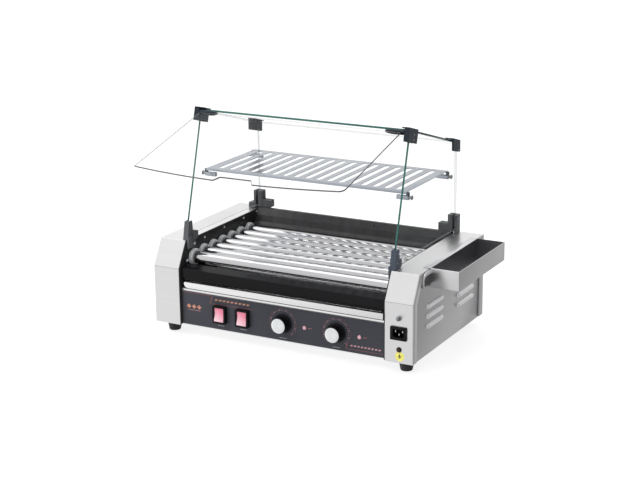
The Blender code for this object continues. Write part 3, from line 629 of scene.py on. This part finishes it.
def screw_head(name, at, axis, radius=0.0024, finish=None):
    """A small domed cross-head screw."""
    finish = finish or ZINC
    dome = [(0, radius * 0.55), (radius * 0.5, radius * 0.5), (radius * 0.85, radius * 0.32), (radius, 0.0),
            (radius, -0.0004), (0, -0.0004)]
    head = turned(name, dome, at, axis, finish, 20)
    bpy.context.view_layer.update()
    slots = []
    for wide, tall in ((0.8, 0.13), (0.13, 0.8)):
        half = Vector((radius * wide, radius * tall, radius * 0.35))
        bar = box(name + "_slot", -half, half, finish)
        bar.matrix_world = head.matrix_world @ Matrix.Translation((0, 0, radius * 0.55))
        slots.append(bar)
    bpy.context.view_layer.update()
    return cut(head, *slots)


# The body

def louvre(side, face_x, span, z, height=0.0052, reach=0.0042):
    """A pressed louvre: a long half-round hood with round ends, standing out of the panel. Its steel is
    lighter than the panel's, as painted highlight where the hood catches the light.
    """
    shape = bmesh.new()
    columns, rows = 28, 10
    length = span[1] - span[0]
    grid = []
    for i in range(columns + 1):
        along = i / columns
        y = span[0] + length * along
        edge = min(along, 1 - along) * length / 0.005
        swell = math.sqrt(max(0.0, 1 - (1 - min(1.0, edge)) ** 2))
        line = []
        for j in range(rows + 1):
            across = -1 + 2 * j / rows
            out = math.sqrt(max(0.0, 1 - across * across))
            bulge = reach * swell * out
            line.append(shape.verts.new((side * (face_x + bulge), y, z + height * across * swell)))
        grid.append(line)
    for i in range(columns):
        for j in range(rows):
            shape.faces.new((grid[i][j], grid[i + 1][j], grid[i + 1][j + 1], grid[i][j + 1]))
    bmesh.ops.remove_doubles(shape, verts=shape.verts, dist=1e-6)
    bmesh.ops.recalc_face_normals(shape, faces=shape.faces)
    return finished("louvre", shape, [LOUVRE_LIT_STEEL])


def rim_line(name, word, side, insets, face, finish):
    """A thin strip along the front, slope and top of a casing's side, between two insets."""
    outer, inner = (casing_outline(inset) for inset in insets)
    run = [outer[i] for i in (0, 4, 3, 2)] + [inner[i] for i in (2, 3, 4, 0)]
    strip = prism(f"{word}_{name}", [run], mirrored((face, face + 0.0002), side), "X", finish)
    keep(strip, smooth=None)


def side_covers():
    """The louvred side panels, and strips round each in its casing's rim: a painted shadow in the gap at the
    panel's edge, painted shade along the rim's fold and a painted highlight on the flange's rounded edge.
    """
    for word, side in SIDES:
        face = HALF_W - SHEET - 0.0004
        plate = prism(f"{word}_cover_plate", [casing_outline(SHEET + 0.0004)],
                      mirrored((face - SHEET, face), side), "X", STEEL_SIDE_SHADE, 0.0003)
        reach = 0.005 if side > 0 else 0.0015
        hoods = [louvre(side, face - 0.0001, span, z, reach=reach) for span in LOUVRE_Y for z in LOUVRE_Z]
        cover = joined(f"{word}_side_cover", [plate] + hoods)
        keep(cover, [f"{word}_side_panel"])
        # Painted shadow in the gap, painted shade along the fold and a painted highlight on the flange edge.
        rim_line("side_gap_shadow", word, side, (0.0172, 0.0194), face, GAP_SHADOW)
        rim_line("rim_fold_shade", word, side, (0.0046, 0.0058), HALF_W - 0.0001, FOLD_SHADE)
        rim_line("rim_highlight", word, side, (0.0118, 0.0146), HALF_W - 0.0001, STEEL_RIM_HIGHLIGHT)
        low, high = mirrored((face, HALF_W + 0.0001), side)
        lap = box(f"{word}_rear_lap", (low, DEPTH - 0.02, BASE_Z + 0.0004),
                  (high, DEPTH - 0.0002, TOP_Z - 0.0196), STEEL_SIDE_SHADE, 0.0006, 3)
        keep(lap)


def casings():
    for word, side in SIDES:
        dress(f"{word}_casing", STEEL_CASING, 0.0004, 2)
        low, high = mirrored((CASING_X + 0.001, HALF_W - 0.0006), side)
        # A painted shade line along the bend where the front meets the slope.
        fold = box(f"{word}_fold", (low, -0.0001, NOSE_Z - 0.0005), (high, 0.0006, NOSE_Z + 0.0001), FOLD_SHADE)
        keep(fold, smooth=None)


def plates():
    """The roller plates and their screws, with holes for the seals that the rollers turn in."""
    for word, side in SIDES:
        outline = casing_outline(0.0, BASE_Z + SHEET + 0.0004)
        holes = [circle(roller_y(i), ROLLER_Z, 0.0132, 32) for i in range(1, ROLLERS + 1)]
        plate = prism(f"{word}_plate_sheet", [outline] + holes, mirrored((INNER_X, PLATE_X), side), "X",
                      PLATE_BLACK, 0.0003)
        low, high = mirrored((0.209, INNER_X + 0.0004), side)
        ledge = box(f"{word}_plate_ledge", (low, 0.026, 0.1039), (high, 0.3, 0.1051), PLATE_BLACK, 0.0002)
        whole = joined(f"{word}_plate", [plate, ledge])
        keep(whole, [f"{word}_roller_plate"])
        axis = "X" if side < 0 else "-X"
        places = [(0.098, 0.183), (0.175, 0.1855), (0.254, 0.186), (0.309, 0.188)]
        # The roller plates' screws in the near-white finish with painted highlight.
        heads = [screw_head("head", (side * INNER_X, y, z), axis, 0.0024, HEAD_GLINT) for y, z in places]
        heads.append(screw_head("head", (side * INNER_X, 0.0305, 0.151), axis, 0.003, HEAD_GLINT))
        keep(joined(f"{word}_plate_screws", heads))


def seals():
    flange, spigot = (TUBE_X + 0.0006, INNER_X - 0.0004), 0.2335
    profile = [(0.0106, spigot), (0.0127, spigot), (0.0127, flange[1]), (0.0176, flange[1]),
               (0.018, flange[1] - 0.0005), (0.018, 0.2258), (0.0174, 0.2253), (0.0166, 0.225),
               (0.0166, 0.2243), (0.0172, 0.224), (0.0176, 0.2236), (0.0176, 0.2226), (0.016, flange[0]),
               (0.013, flange[0]), (0.0126, flange[0] + 0.0008), (0.0106, flange[0] + 0.0008)]
    for i in range(1, ROLLERS + 1):
        at = (0, roller_y(i), ROLLER_Z)
        left = turned(f"left_bush_{i}", profile, at, "-X", SEAL, 40, ring=True)
        keep(left, [f"left_seal_{i}"])
        right = turned(f"right_bush_{i}", profile, at, "X", SEAL, 40, ring=True)
        keep(right)


def toothed(centre, radius, teeth, depth):
    """A sprocket's rim: rounded teeth and round gaps."""
    points = []
    steps = teeth * 6
    for i in range(steps):
        angle = 2 * math.pi * i / steps
        wave = (0.5 + 0.5 * math.cos(teeth * angle)) ** 0.7
        reach = radius - depth * (1 - wave)
        points.append((centre[0] + reach * math.cos(angle), centre[1] + reach * math.sin(angle)))
    return points


def rollers():
    end, hub = 0.2345, 0.245
    tube = [(0.0085, end), (0.0097, end), (0.01, end - 0.0003), (0.01, TUBE_X), (0.0118, TUBE_X),
            (ROLLER_R, TUBE_X - 0.0007), (ROLLER_R, -TUBE_X + 0.0007), (0.0118, -TUBE_X), (0.01, -TUBE_X),
            (0.01, 0.0003 - hub), (0.0097, -hub), (0.0085, -hub)]
    for i in range(1, ROLLERS + 1):
        body = f"roller_{i}"
        at = (0, roller_y(i), ROLLER_Z)
        barrel = turned(f"{body}_tube", tube, at, "X", CHROME, 64, ring=True)
        keep(barrel, [body], body)
        rim = toothed(at[1:], SPROCKET_R, 12, 0.0026)
        wheel = prism(f"{body}_sprocket", [rim, circle(*at[1:], 0.0101, 32)], SPROCKET_X, "X", CHAIN, 0.0003)
        keep(wheel, body=body)


def drive():
    """The chain drive hidden in the left casing: the chain is drawn as links on its loop."""
    dress("gear_motor", ZINC, 0)
    axle = (roller_y(4), 0.056)
    rim = toothed(axle, SPROCKET_R, 12, 0.0026)
    wheel = prism("motor_wheel", [rim, circle(*axle, 0.0044, 24)], SPROCKET_X, "X", CHAIN, 0.0003)
    keep(wheel, ["motor_sprocket"], "motor_sprocket")
    dress("drive_chain", CHAIN, 0)


def front_sheets():
    dress("front_fascia", BLACK, 0.001, 3)
    dress("rear_panel", SPLASH, 0.001, 3)
    dress("base_pan", STEEL_SIDE_SHADE, 0.0004)
    dress("control_panel", STEEL_TRAY, 0.0005)
    shade = box("panel_top_shadow", (-0.2275, 0.009, 0.1004), (0.2275, 0.0235, 0.1011), GAP_SHADOW)
    keep(shade, smooth=None)
    # Two dark lines of painted shade: at the panel's folded top edge and just above the film.
    lines = [box("line", (-0.228, FRONT_Y - 0.0002, z), (0.228, FRONT_Y + 0.0002, z + 0.0009), GAP_SHADOW)
             for z in (0.0948, 0.0996)]
    keep(joined("panel_top_shade_lines", lines), smooth=None)
    hem = box("fascia_hem", (-0.2286, FRONT_Y, 0.1175), (0.2286, FRONT_Y + SHEET, 0.1222), BLACK, 0.0002)
    keep(hem)


def drip_tray():
    """A shallow pan behind a rolled lip, whose left end is rounded off below."""
    left, right, low, high = -0.2127, 0.2193, 0.1055, 0.1155
    floor = box("floor", (left, 0.003, low), (right, 0.3, low + 0.001), STEEL_TRAY)
    walls = [box("wall", (left, 0.003, low), (left + 0.001, 0.3, high), STEEL_TRAY),
             box("wall", (right - 0.001, 0.003, low), (right, 0.3, high), STEEL_TRAY),
             box("wall", (left, 0.299, low), (right, 0.3, high), STEEL_TRAY)]
    lip = [(0.2286, 0.105), (0.2286, 0.117)] + arc((-0.214, 0.1145), 0.0025, 90, 180)
    lip += arc((-0.2075, 0.114), 0.009, 180, 270)
    front = prism("lip", [lip], (-0.004, 0.0036), "Y", STEEL_TRAY, 0.0022, 3)
    keep(joined("tray", [floor, front] + walls), ["drip_tray"], "drip_tray")


# Panel graphics

def stroke(points, width):
    """A flat ribbon along a path, as (x, z) outline points."""
    left, right = [], []
    for i, point in enumerate(points):
        here = Vector(point)
        run = (Vector(points[min(i + 1, len(points) - 1)]) - Vector(points[max(i - 1, 0)])).normalized()
        side = Vector((-run.y, run.x)) * width / 2
        left.append(tuple(here + side))
        right.append(tuple(here - side))
    return left + right[::-1]


def dashes(start, z, count, pitch, length, height):
    """A row of slanted bars."""
    bars = []
    for i in range(count):
        x = start + pitch * i
        lean = height * 0.3
        low, high = z - height / 2, z + height / 2
        bars.append([(x - lean, low), (x + length - lean, low), (x + length + lean, high), (x + lean, high)])
    return bars


def diamond(x, z, wide, tall):
    return [(x - wide, z), (x, z - tall), (x + wide, z), (x, z + tall)]


def overlay():
    """The slate film on the control panel, cut out for what comes through it."""
    face = FRONT_Y - 0.00025
    outline = rounded((-0.2275, 0.0245), (0.2275, 0.0945), 0.0015)
    holes = [circle(x, KNOB_Z, 0.0042, 24) for x in KNOB_X] + [circle(x, LAMP_Z, 0.0041, 24) for x in LAMP_X]
    for x in SWITCH_X:
        holes.append(rectangle((x - 0.01325, SWITCH_Z - 0.0165), (x + 0.01325, SWITCH_Z + 0.0165)))
    film = prism("panel_overlay", [outline] + holes, (face, FRONT_Y - 0.00002), "Y", SLATE)
    keep(film)


def dial_marks(x, z):
    """Ticks round a knob over 270 degrees, longer at every third, and a ring of dots outside them."""
    ticks, dots = [], []
    for i in range(28):
        angle = math.radians(225 - 10 * i)
        long = i % 3 == 0
        inner, outer = 0.0258, 0.0298 if long else 0.0278
        points = [(x + r * math.cos(angle), z + r * math.sin(angle)) for r in (inner, outer)]
        ticks.append(stroke(points, 0.0011 if long else 0.0007))
        if not long:
            dots.append(circle(x + 0.0308 * math.cos(angle), z + 0.0308 * math.sin(angle), 0.0008, 8))
    return ticks, dots


def graphics():
    """Generic marks in place of the maker's print: borders, dial rings, dashes and small caption bars."""
    front = FRONT_Y - 0.00025
    span = (front - 0.0001, front - 0.00002)
    red, pale, grey, orange = [], [], [], []
    red.append(stroke([(-0.2252, 0.0925), (-0.156, 0.0925)], 0.0007))
    for x in KNOB_X:
        ticks, dots = dial_marks(x, KNOB_Z)
        pale += ticks
        red += dots
    for x, z, size, ink in ((-0.112, 0.0838, 1.0, orange), (0.186, 0.0365, 0.82, pale)):
        left = x - 0.05 * size
        red.append(stroke([(left, z - 0.006 * size), (x - 0.044 * size, z + 0.009 * size)], 0.0014))
        ink += dashes(x - 0.038 * size, z + 0.002, 9, 0.0092 * size, 0.0056 * size, 0.003)
        red.append(stroke([(left, z - 0.0075 * size), (x + 0.05 * size, z - 0.006 * size)], 0.0007))
    mark = (-0.201, 0.064)
    orange += [diamond(mark[0] + dx, mark[1], 0.0054, 0.0048) for dx in (-0.0115, 0.0005, 0.0125)]
    pale.append(stroke([(mark[0] - 0.014, mark[1] - 0.0075), (mark[0] + 0.015, mark[1] - 0.0075)], 0.0008))
    for x in SWITCH_X:
        grey.append(rectangle((x - 0.0075, 0.0322), (x + 0.0075, 0.0336)))
    for x in LAMP_X:
        pale.append(rectangle((x + 0.008, LAMP_Z - 0.0005), (x + 0.011, LAMP_Z + 0.0005)))
        red.append(rectangle((x + 0.0125, LAMP_Z - 0.0012), (x + 0.015, LAMP_Z + 0.0012)))
    for x in KNOB_X:
        grey.append(rectangle((x - 0.008, 0.0292), (x + 0.008, 0.0303)))
    for name, outlines, ink in (("red", red, RED_INK), ("pale", pale, PALE_INK), ("grey", grey, GREY_INK),
                                ("orange", orange, ORANGE_INK)):
        marks = [prism("mark", [outline], span, "Y", ink) for outline in outlines]
        keep(joined(f"print_{name}", marks), smooth=None)


# Controls

def switches():
    front = FRONT_Y - 0.009
    for i, x in enumerate(SWITCH_X, 1):
        outer = rounded((x - 0.01475, SWITCH_Z - 0.018), (x + 0.01475, SWITCH_Z + 0.018), 0.0016)
        inner = rounded((x - 0.01115, SWITCH_Z - 0.0148), (x + 0.01115, SWITCH_Z + 0.0148), 0.0006)
        rim = prism("rim", [outer, inner], (front, FRONT_Y - 0.0004), "Y", SWITCH_PLASTIC, 0.0007, 3)
        body_outer = rectangle((x - 0.01275, SWITCH_Z - 0.016), (x + 0.01275, SWITCH_Z + 0.016))
        body = prism("body", [body_outer, inner], (FRONT_Y - 0.001, 0.016), "Y", SWITCH_PLASTIC)
        back = prism("back", [body_outer], (0.016, 0.03), "Y", SWITCH_PLASTIC)
        keep(joined(f"switch_{i}_bezel", [rim, body, back]), [f"switch_housing_{i}"])
        rocker(i, x, front)


def rocker(number, x, front):
    """Two gently hollow faces that meet in a ridge, stored with the upper one pressed in."""
    half, end = 0.014, 0.0128
    face = []
    for step in range(9):
        t = step / 8
        face.append((-0.001 - 0.002 * t ** 1.6, half * t))
    face = [(y, -z) for y, z in face[:0:-1]] + face
    outline = [(0.006, -end)] + face + [(0.006, end), (0.0085, 0)]
    tip = Matrix.Rotation(math.radians(-7), 4, "X")
    obj = prism(f"rocker_{number}_key", [outline[::-1]], (-0.01075, 0.01075), "X", ROCKER_RED, 0.0008, 3)
    obj.matrix_world = Matrix.Translation((x, front + 0.003, SWITCH_Z)) @ tip @ obj.matrix_world
    keep(obj, [f"rocker_{number}"], f"rocker_{number}")


def knobs():
    for i, x in enumerate(KNOB_X, 1):
        at = (x, FRONT_Y, KNOB_Z)
        skirt = [(0, 0.0196), (0.015, 0.0196), (0.0156, 0.0192), (0.016, 0.0182), (0.0165, 0.0075),
                 (0.0174, 0.0056), (0.0191, 0.0042), (0.0198, 0.0036), (0.0198, 0.0014), (0.0194, 0.001),
                 (0.0032, 0.001), (0.0032, -0.015), (0, -0.015)]
        body = turned("grip", skirt, at, "-Y", KNOB_PLASTIC, 96)
        rod = [(0, 0.0186), (0.0007, 0.0186), (0.0007, 0.0062), (0, 0.0062)]
        flutes = [turned("flute", rod, (fx, FRONT_Y, fz), "-Y", KNOB_PLASTIC, 8)
                  for fx, fz in circle(x, KNOB_Z, 0.0167, 24)]
        body = cut(body, joined("flutes", flutes))
        body.name = f"knob_{i}_grip"
        disc = [(0, 0.02), (0.013, 0.02), (0.0146, 0.0199), (0.015, 0.0197), (0.015, 0.0193), (0, 0.0193)]
        cap = turned(f"knob_{i}_cap", disc, at, "-Y", CAP, 64)
        keep(body, [f"thermostat_knob_{i}"], f"knob_{i}")
        keep(cap, body=f"knob_{i}")


def lamps():
    for i, x in enumerate(LAMP_X, 1):
        at = (x, FRONT_Y, LAMP_Z)
        collar = [(0.0035, 0.0006), (0.0044, 0.0006), (0.0046, 0.0004), (0.0046, 0.0003), (0.0036, 0.0003),
                  (0.0036, -0.015), (0.0035, -0.015)]
        dome = [(0, 0.0042), (0.0014, 0.0041), (0.0026, 0.0035), (0.0037, 0.0022), (0.0042, 0.001),
                (0.0034, 0.0008), (0.0034, -0.016), (0, -0.016)]
        keep(turned(f"lamp_{i}_collar", collar, at, "-Y", KNOB_PLASTIC, 32, ring=True))
        keep(turned(f"lamp_{i}_lens", dome, at, "-Y", LAMP_RED, 32), [f"pilot_lamp_{i}"])


def inlet():
    """A mains inlet with a moulded rim, a deep well and three pins."""
    x, z = INLET
    rim = rounded((x - 0.0172, z - 0.0135), (x + 0.0172, z + 0.0135), 0.0022)
    corners = [(-0.0082, -0.0082), (0.0082, -0.0082), (0.0118, -0.0046), (0.0118, 0.0082), (-0.0118, 0.0082),
               (-0.0118, -0.0046)]
    well = [(x + dx, z + dz) for dx, dz in corners]
    shell = rectangle((x - 0.0138, z - 0.0101), (x + 0.0138, z + 0.0101))
    parts = [prism("rim", [rim, well], (-0.0024, -0.0004), "Y", SWITCH_PLASTIC, 0.0006, 3),
             prism("shell", [shell, well], (-0.0006, 0.015), "Y", SWITCH_PLASTIC),
             prism("back", [shell], (0.015, 0.026), "Y", SWITCH_PLASTIC)]
    keep(joined("inlet_shell", parts), ["power_inlet"])
    pins = []
    for dx, dz in ((-0.0075, 0.003), (0.0075, 0.003), (0, -0.003)):
        low, high = (x + dx - 0.001, 0.0016, z + dz - 0.002), (x + dx + 0.001, 0.0152, z + dz + 0.002)
        pins.append(box("pin", low, high, PIN_PLATE, 0.0004))
    keep(joined("inlet_pins", pins))


def casing_fittings():
    x, z = RESET
    dome = [(0, 0.005), (0.0012, 0.0049), (0.0024, 0.0045), (0.0034, 0.0037), (0.0039, 0.0026),
            (0.004, 0.0006), (0.0027, 0.0006), (0.0027, -0.009), (0.0042, -0.009), (0.0042, -0.0115),
            (0, -0.0115)]
    cap = turned("reset_cap", dome, (x, -0.0035, z), "-Y", STUD_DARK, 40)
    keep(cap, ["reset_button"], "reset_button")
    collar = [(0.0042, 0.0026), (0.0047, 0.0028), (0.0052, 0.0024), (0.0055, 0.0004), (0.0042, 0.0004)]
    keep(turned("reset_collar", collar, (x, 0, z), "-Y", ZINC, 40, ring=True))
    x, z = EARTH
    flat = [(0.0022, 0.001), (0.0052, 0.001), (0.0055, 0.0003), (0.0022, 0.0003)]
    washer = turned("washer", flat, (x, 0, z), "-Y", EARTH_DARK, 32, ring=True)
    pin = [(0, 0.0032), (0.003, 0.0031), (0.004, 0.0022), (0.0042, 0.0011), (0.002, 0.001),
           (0.002, -0.012), (0, -0.012)]
    stud = turned("stud", pin, (x, 0, z), "-Y", EARTH_DARK, 32)
    keep(joined("earth_stud", [washer, stud]), ["earth_screw"])
    centre = (0.2625, 0.0358)
    disc = prism("disc", [circle(*centre, 0.0094, 48)], (-0.0002, -0.00002), "Y", LABEL)
    marks = [rectangle((centre[0] - w, centre[1] + z - 0.0006), (centre[0] + w, centre[1] + z + 0.0006))
             for w, z in ((0.0036, 0.0000), (0.0025, -0.0017), (0.0014, -0.0034))]
    marks.append(rectangle((centre[0] - 0.001, centre[1]), (centre[0] + 0.001, centre[1] + 0.0046)))
    bars = [prism("bar", [mark], (-0.0003, -0.00015), "Y", LABEL_INK) for mark in marks]
    keep(joined("earth_label", [disc] + bars), smooth=None)


def feet():
    profile = [(0, 0.0216), (0.0143, 0.0216), (0.0143, 0.015), (0.014, 0.0125), (0.0122, 0.003),
               (0.0118, 0.0012), (0.011, 0.0003), (0.01, 0.0), (0.004, 0.0), (0.0036, 0.0016), (0, 0.0016)]
    for end, x, y in (("front", 0.2635, 0.029), ("rear", 0.25, 0.311)):
        for word, side in SIDES:
            foot = turned(f"{end}_{word}_rubber", profile, (side * x, y, 0), "Z", RUBBER, 48)
            keep(foot, [f"{end}_{word}_foot"])


# The hood

def pane(name, outlines, span, axis, face_finish, edge_finish, rim_finish=None, shows=None):
    """A clear sheet with a small arris. Its narrow edges have their own finish, and those whose direction
    in the sheet's own plane doesn't pass the test shows have the rim's."""
    obj = prism(name, outlines, span, axis, face_finish, 0.0004, 1)
    obj.data.materials.append(edge_finish)
    obj.data.materials.append(rim_finish or edge_finish)
    normal = Vector([1.0 if letter == axis else 0.0 for letter in "XYZ"])
    turn = obj.matrix_world.to_3x3()
    for face in obj.data.polygons:
        facing = (turn @ face.normal).normalized()
        if abs(facing.dot(normal)) > 0.9:
            face.material_index = 0
        else:
            face.material_index = 1 if shows is None or shows(facing) else 2
    return obj


def hood_side_outline():
    return [(HOOD_FRONT_Y, HOOD_FOOT_Z), (HOOD_BACK_Y, HOOD_FOOT_Z), (HOOD_BACK_Y, HOOD_BACK_Z),
            (HOOD_TOP_Y, HOOD_TOP_Z)]


def panes():
    holes = [circle(y, STUD_Z, 0.0032, 24) for y in STUD_Y]
    for word, side in SIDES:
        sheet = pane(f"{word}_pane", [hood_side_outline()] + holes, mirrored((PANE_X, PANE_OUT), side), "X",
                     GLASS, GLASS_EDGE, GLASS_PALE, lambda facing: facing.y < -0.6)
        keep(sheet, [f"{word}_glass"], smooth=None)
    half = PANE_X - 0.0004
    back = pane("rear_pane", [rectangle((-half, 0.206), (half, HOOD_BACK_Z - 0.001))],
                (HOOD_BACK_Y - PANE_T, HOOD_BACK_Y), "Y", GLASS, GLASS_PALE)
    keep(back, ["rear_glass"], smooth=None)
    length = (HOOD_BACK_Y - HOOD_TOP_Y) / math.cos(TILT) + 0.001
    roof_outline = rectangle((-PANE_OUT, -0.001), (PANE_OUT, length - 0.001))
    roof = pane("roof_pane", [roof_outline], (0.0004, 0.0004 + PANE_T), "Z", GLASS, GLASS_EDGE, GLASS_PALE,
                lambda facing: facing.y < -0.6)
    for face in roof.data.polygons:
        if face.normal.x > 0.6:
            face.material_index = 3
    roof.data.materials.append(GLASS_SIDE)
    slope = Matrix.Translation((0, HOOD_TOP_Y, HOOD_TOP_Z)) @ Matrix.Rotation(-TILT, 4, "X")
    roof.matrix_world = slope @ roof.matrix_world
    keep(roof, ["top_glass"], smooth=None)


def hood_fittings():
    for end in ("front", "rear"):
        for word in ("left", "right"):
            dress(f"{end}_{word}_connector", HOOD_PLASTIC, 0.0006, 2)
            side_finish = POST_SLATE if (end, word) == ("front", "right") else POST_GREY
            dress(f"{end}_{word}_post", side_finish, 0.0006, 2)
    heads = []
    for side in (-1, 1):
        axis = "X" if side > 0 else "-X"
        spots = [(0.2385, 0.108, 0.43), (0.2385, 0.111, 0.4395), (0.2385, 0.322, 0.368),
                 (0.2375, 0.041, 0.205), (0.2375, 0.044, 0.222), (0.24, 0.3245, 0.224)]
        heads += [screw_head("head", (side * x, y, z), axis, 0.0016) for x, y, z in spots]
        inward = "X" if side < 0 else "-X"
        heads.append(screw_head("head", (side * 0.2235, 0.051, 0.183), inward, 0.0026, HEAD_GLINT))
    keep(joined("hood_screws", heads))


def free_edge(x):
    """How far the flap's bowed free edge is from its hinge edge."""
    return FLAP_LENGTH + FLAP_BOW * (1 - (x / FLAP_X[0]) ** 2)


def flap_outline():
    (left, right), near, far, half = FLAP_X, 0.004, 0.013, 0.042
    points = [(right, -0.0016), (left, -0.0016)]
    points += arc((left + near, near - free_edge(left + near)), near, 180, 270, 8)
    points += [(x / 1000, -free_edge(x / 1000)) for x in range(-215, -55, 10)]
    deep = -free_edge(0) + 0.015
    for sign in (-1, 1):
        corner, inner = sign * half, sign * (half - 0.01)
        ease = []
        for step in range(9):
            t = step / 8
            blend = t * t * (3 - 2 * t)
            ease.append((corner + (inner - corner) * t, -free_edge(half) + (deep + free_edge(half)) * blend))
        points += ease if sign < 0 else ease[::-1]
    points += [(x / 1000, -free_edge(x / 1000)) for x in range(55, 205, 10)]
    points += arc((right - far, far - free_edge(right - far)), far, 270, 360, 8)
    return points


def flap():
    swing = Matrix.Translation((0, *HINGE)) @ Matrix.Rotation(FLAP_ANGLE, 4, "X")
    sheet = pane("flap_sheet", [flap_outline()], (-0.0015, 0.0015), "Z", ACRYLIC, ACRYLIC_EDGE, ACRYLIC_PALE,
                 lambda facing: facing.x > -0.9 and facing.y < 0.5)
    sheet.matrix_world = swing @ sheet.matrix_world
    keep(sheet, ["front_flap"], "flap", None)
    pin = [(0, 0.235), (0.0019, 0.235), (0.0021, 0.2348), (0.0021, 0.2272), (0.0046, 0.2272),
           (0.005, 0.2268), (0.0052, 0.205), (0.005, 0.2), (0.0046, 0.196), (0.0036, 0.1905),
           (0.0024, 0.1868), (0, 0.186)]
    for word, axis in (("left", "-X"), ("right", "X")):
        clip = turned(f"{word}_clip", pin, (0, *HINGE), axis, HOOD_PLASTIC, 40)
        slot = box("slot", (-0.24, -0.02, -0.0018), (0.24, -0.0012, 0.0018), HOOD_PLASTIC)
        slot.matrix_world = swing @ slot.matrix_world
        keep(cut(clip, slot), [f"{word}_flap_hinge"], "flap")


def shelf():
    """A slotted shelf with turned-down edges, on four bent arms with tabs, screwed through the side panes."""
    front, back = SHELF_Y
    deep = 0.0045
    path = [(front, SHELF_Z - deep), (front, SHELF_Z), (back, SHELF_Z), (back, SHELF_Z - deep)]
    inner = [(back - SHEET, SHELF_Z - deep), (back - SHEET, SHELF_Z - SHEET),
             (front + SHEET, SHELF_Z - SHEET), (front + SHEET, SHELF_Z - deep)]
    tray = prism("shelf_sheet", [path + inner], (-SHELF_X, SHELF_X), "X", STEEL_SHELF, 0.0004)
    slots = []
    for i in range(17):
        x = -0.2 + 0.025 * i
        slots.append(rounded((x - 0.006, front + 0.014), (x + 0.006, back - 0.014), 0.0055, 5))
    through = (SHELF_Z - 0.004, SHELF_Z + 0.004)
    cutter = joined("cutter", [prism("slot", [slot], through, "Z", STEEL_SHELF) for slot in slots])
    parts = [cut(tray, cutter)]
    for side in (-1, 1):
        low_x, high_x = mirrored((0.203, PANE_X - 0.0004), side)
        arm_x = mirrored((0.224, PANE_X - 0.0004), side)
        for y in STUD_Y:
            low, high = (low_x, y - 0.0036, LUG_Z[0]), (high_x, y + 0.0036, LUG_Z[1])
            parts.append(box("tab", low, high, STEEL_SHELF, 0.0014, 3))
            low, high = (arm_x[0], y - 0.0034, LUG_Z[0] + 0.0006), (arm_x[1], y + 0.0034, SHELF_Z - 0.0008)
            parts.append(box("arm", low, high, SHELF_DARK, 0.0012, 3))
            stud = [(0, 0.2364), (0.0028, 0.2368), (0.0042, 0.2362), (0.0046, 0.2354), (0.0046, 0.2345),
                    (0.0026, 0.2344), (0.0026, 0.228), (0, 0.228)]
            parts.append(turned("stud", stud, (0, y, STUD_Z), "X" if side > 0 else "-X", STUD_DARK, 28))
    keep(joined("shelf", parts), ["bun_shelf"])


def caddy():
    """A deep open trough hooked over the casing's edge. Its back sheet runs on forwards with a rolled rim.
    Its outer side, its inside and that forward run of the back sheet carry painted shade.
    """
    (left, right), (front, back), (low, high) = (0.2906, 0.3504), (0.074, 0.303), (0.156, 0.194)
    shell = box("shell", (left, front, low), (right, back, high), STEEL_CADDY, 0.001, 3)
    room = box("room", (left + SHEET, front + SHEET, low + SHEET), (right - SHEET, back - SHEET, high + 0.02),
               STEEL_DEEP_SHADE)
    shell = cut(shell, room)
    shell.data.materials.append(CADDY_SIDE_SHADE)
    shell.data.materials.append(CADDY_INSIDE_SHADE)
    # Painted shade: darker copies of the steel on the outer side's faces and on the faces inside the trough.
    for face in shell.data.polygons:
        centre = shell.matrix_world @ face.center
        if face.normal.x > 0.7 and centre.x > right - 0.0005:
            face.material_index = len(shell.data.materials) - 2
        inside = left + 0.0009 < centre.x < right - 0.0009 and front + 0.0009 < centre.y < back - 0.0009
        if inside and low + 0.001 < centre.z < high - 0.0015:
            face.material_index = len(shell.data.materials) - 1
    top = TOP_Z + 0.0004
    hook = box("hook", (0.276, front, top), (left + SHEET, back, top + SHEET), STEEL_CADDY, 0.0004)
    edge = [(0.0384, 0.164), (front + 0.002, 0.164), (front + 0.002, 0.1916)]
    edge += arc((0.054, 0.176), 0.0156, 90, 180, 12)
    # The back sheet's forward run inside the rolled rim is painted dark as shade.
    plate = prism("plate", [edge], (left, left + SHEET), "X", STEEL_DEEP_SHADE)
    rim = arc((0.054, 0.176), 0.016, 90, 180, 14)
    rim = [(front, 0.192)] + rim + [(0.038, 0.1636)]
    bow = [(0.054 + 0.0128 * y, 0.176 + 0.009 * z) for y, z in arc((0, 0), 1.0, 180, 90, 14)]
    inner = [(0.0412, 0.1636)] + bow + [(front, 0.185)]
    rolled = prism("rolled", [rim + inner], (left, left + 0.003), "X", STEEL_CADDY, 0.0012, 3)
    keep(joined("caddy", [shell, hook, plate, rolled]), ["utensil_caddy"], "utensil_caddy")


make_camera()
make_light()
make_floor()
side_covers()
casings()
plates()
seals()
rollers()
drive()
front_sheets()
drip_tray()
overlay()
graphics()
switches()
knobs()
lamps()
inlet()
casing_fittings()
feet()
panes()
hood_fittings()
flap()
shelf()
caddy()
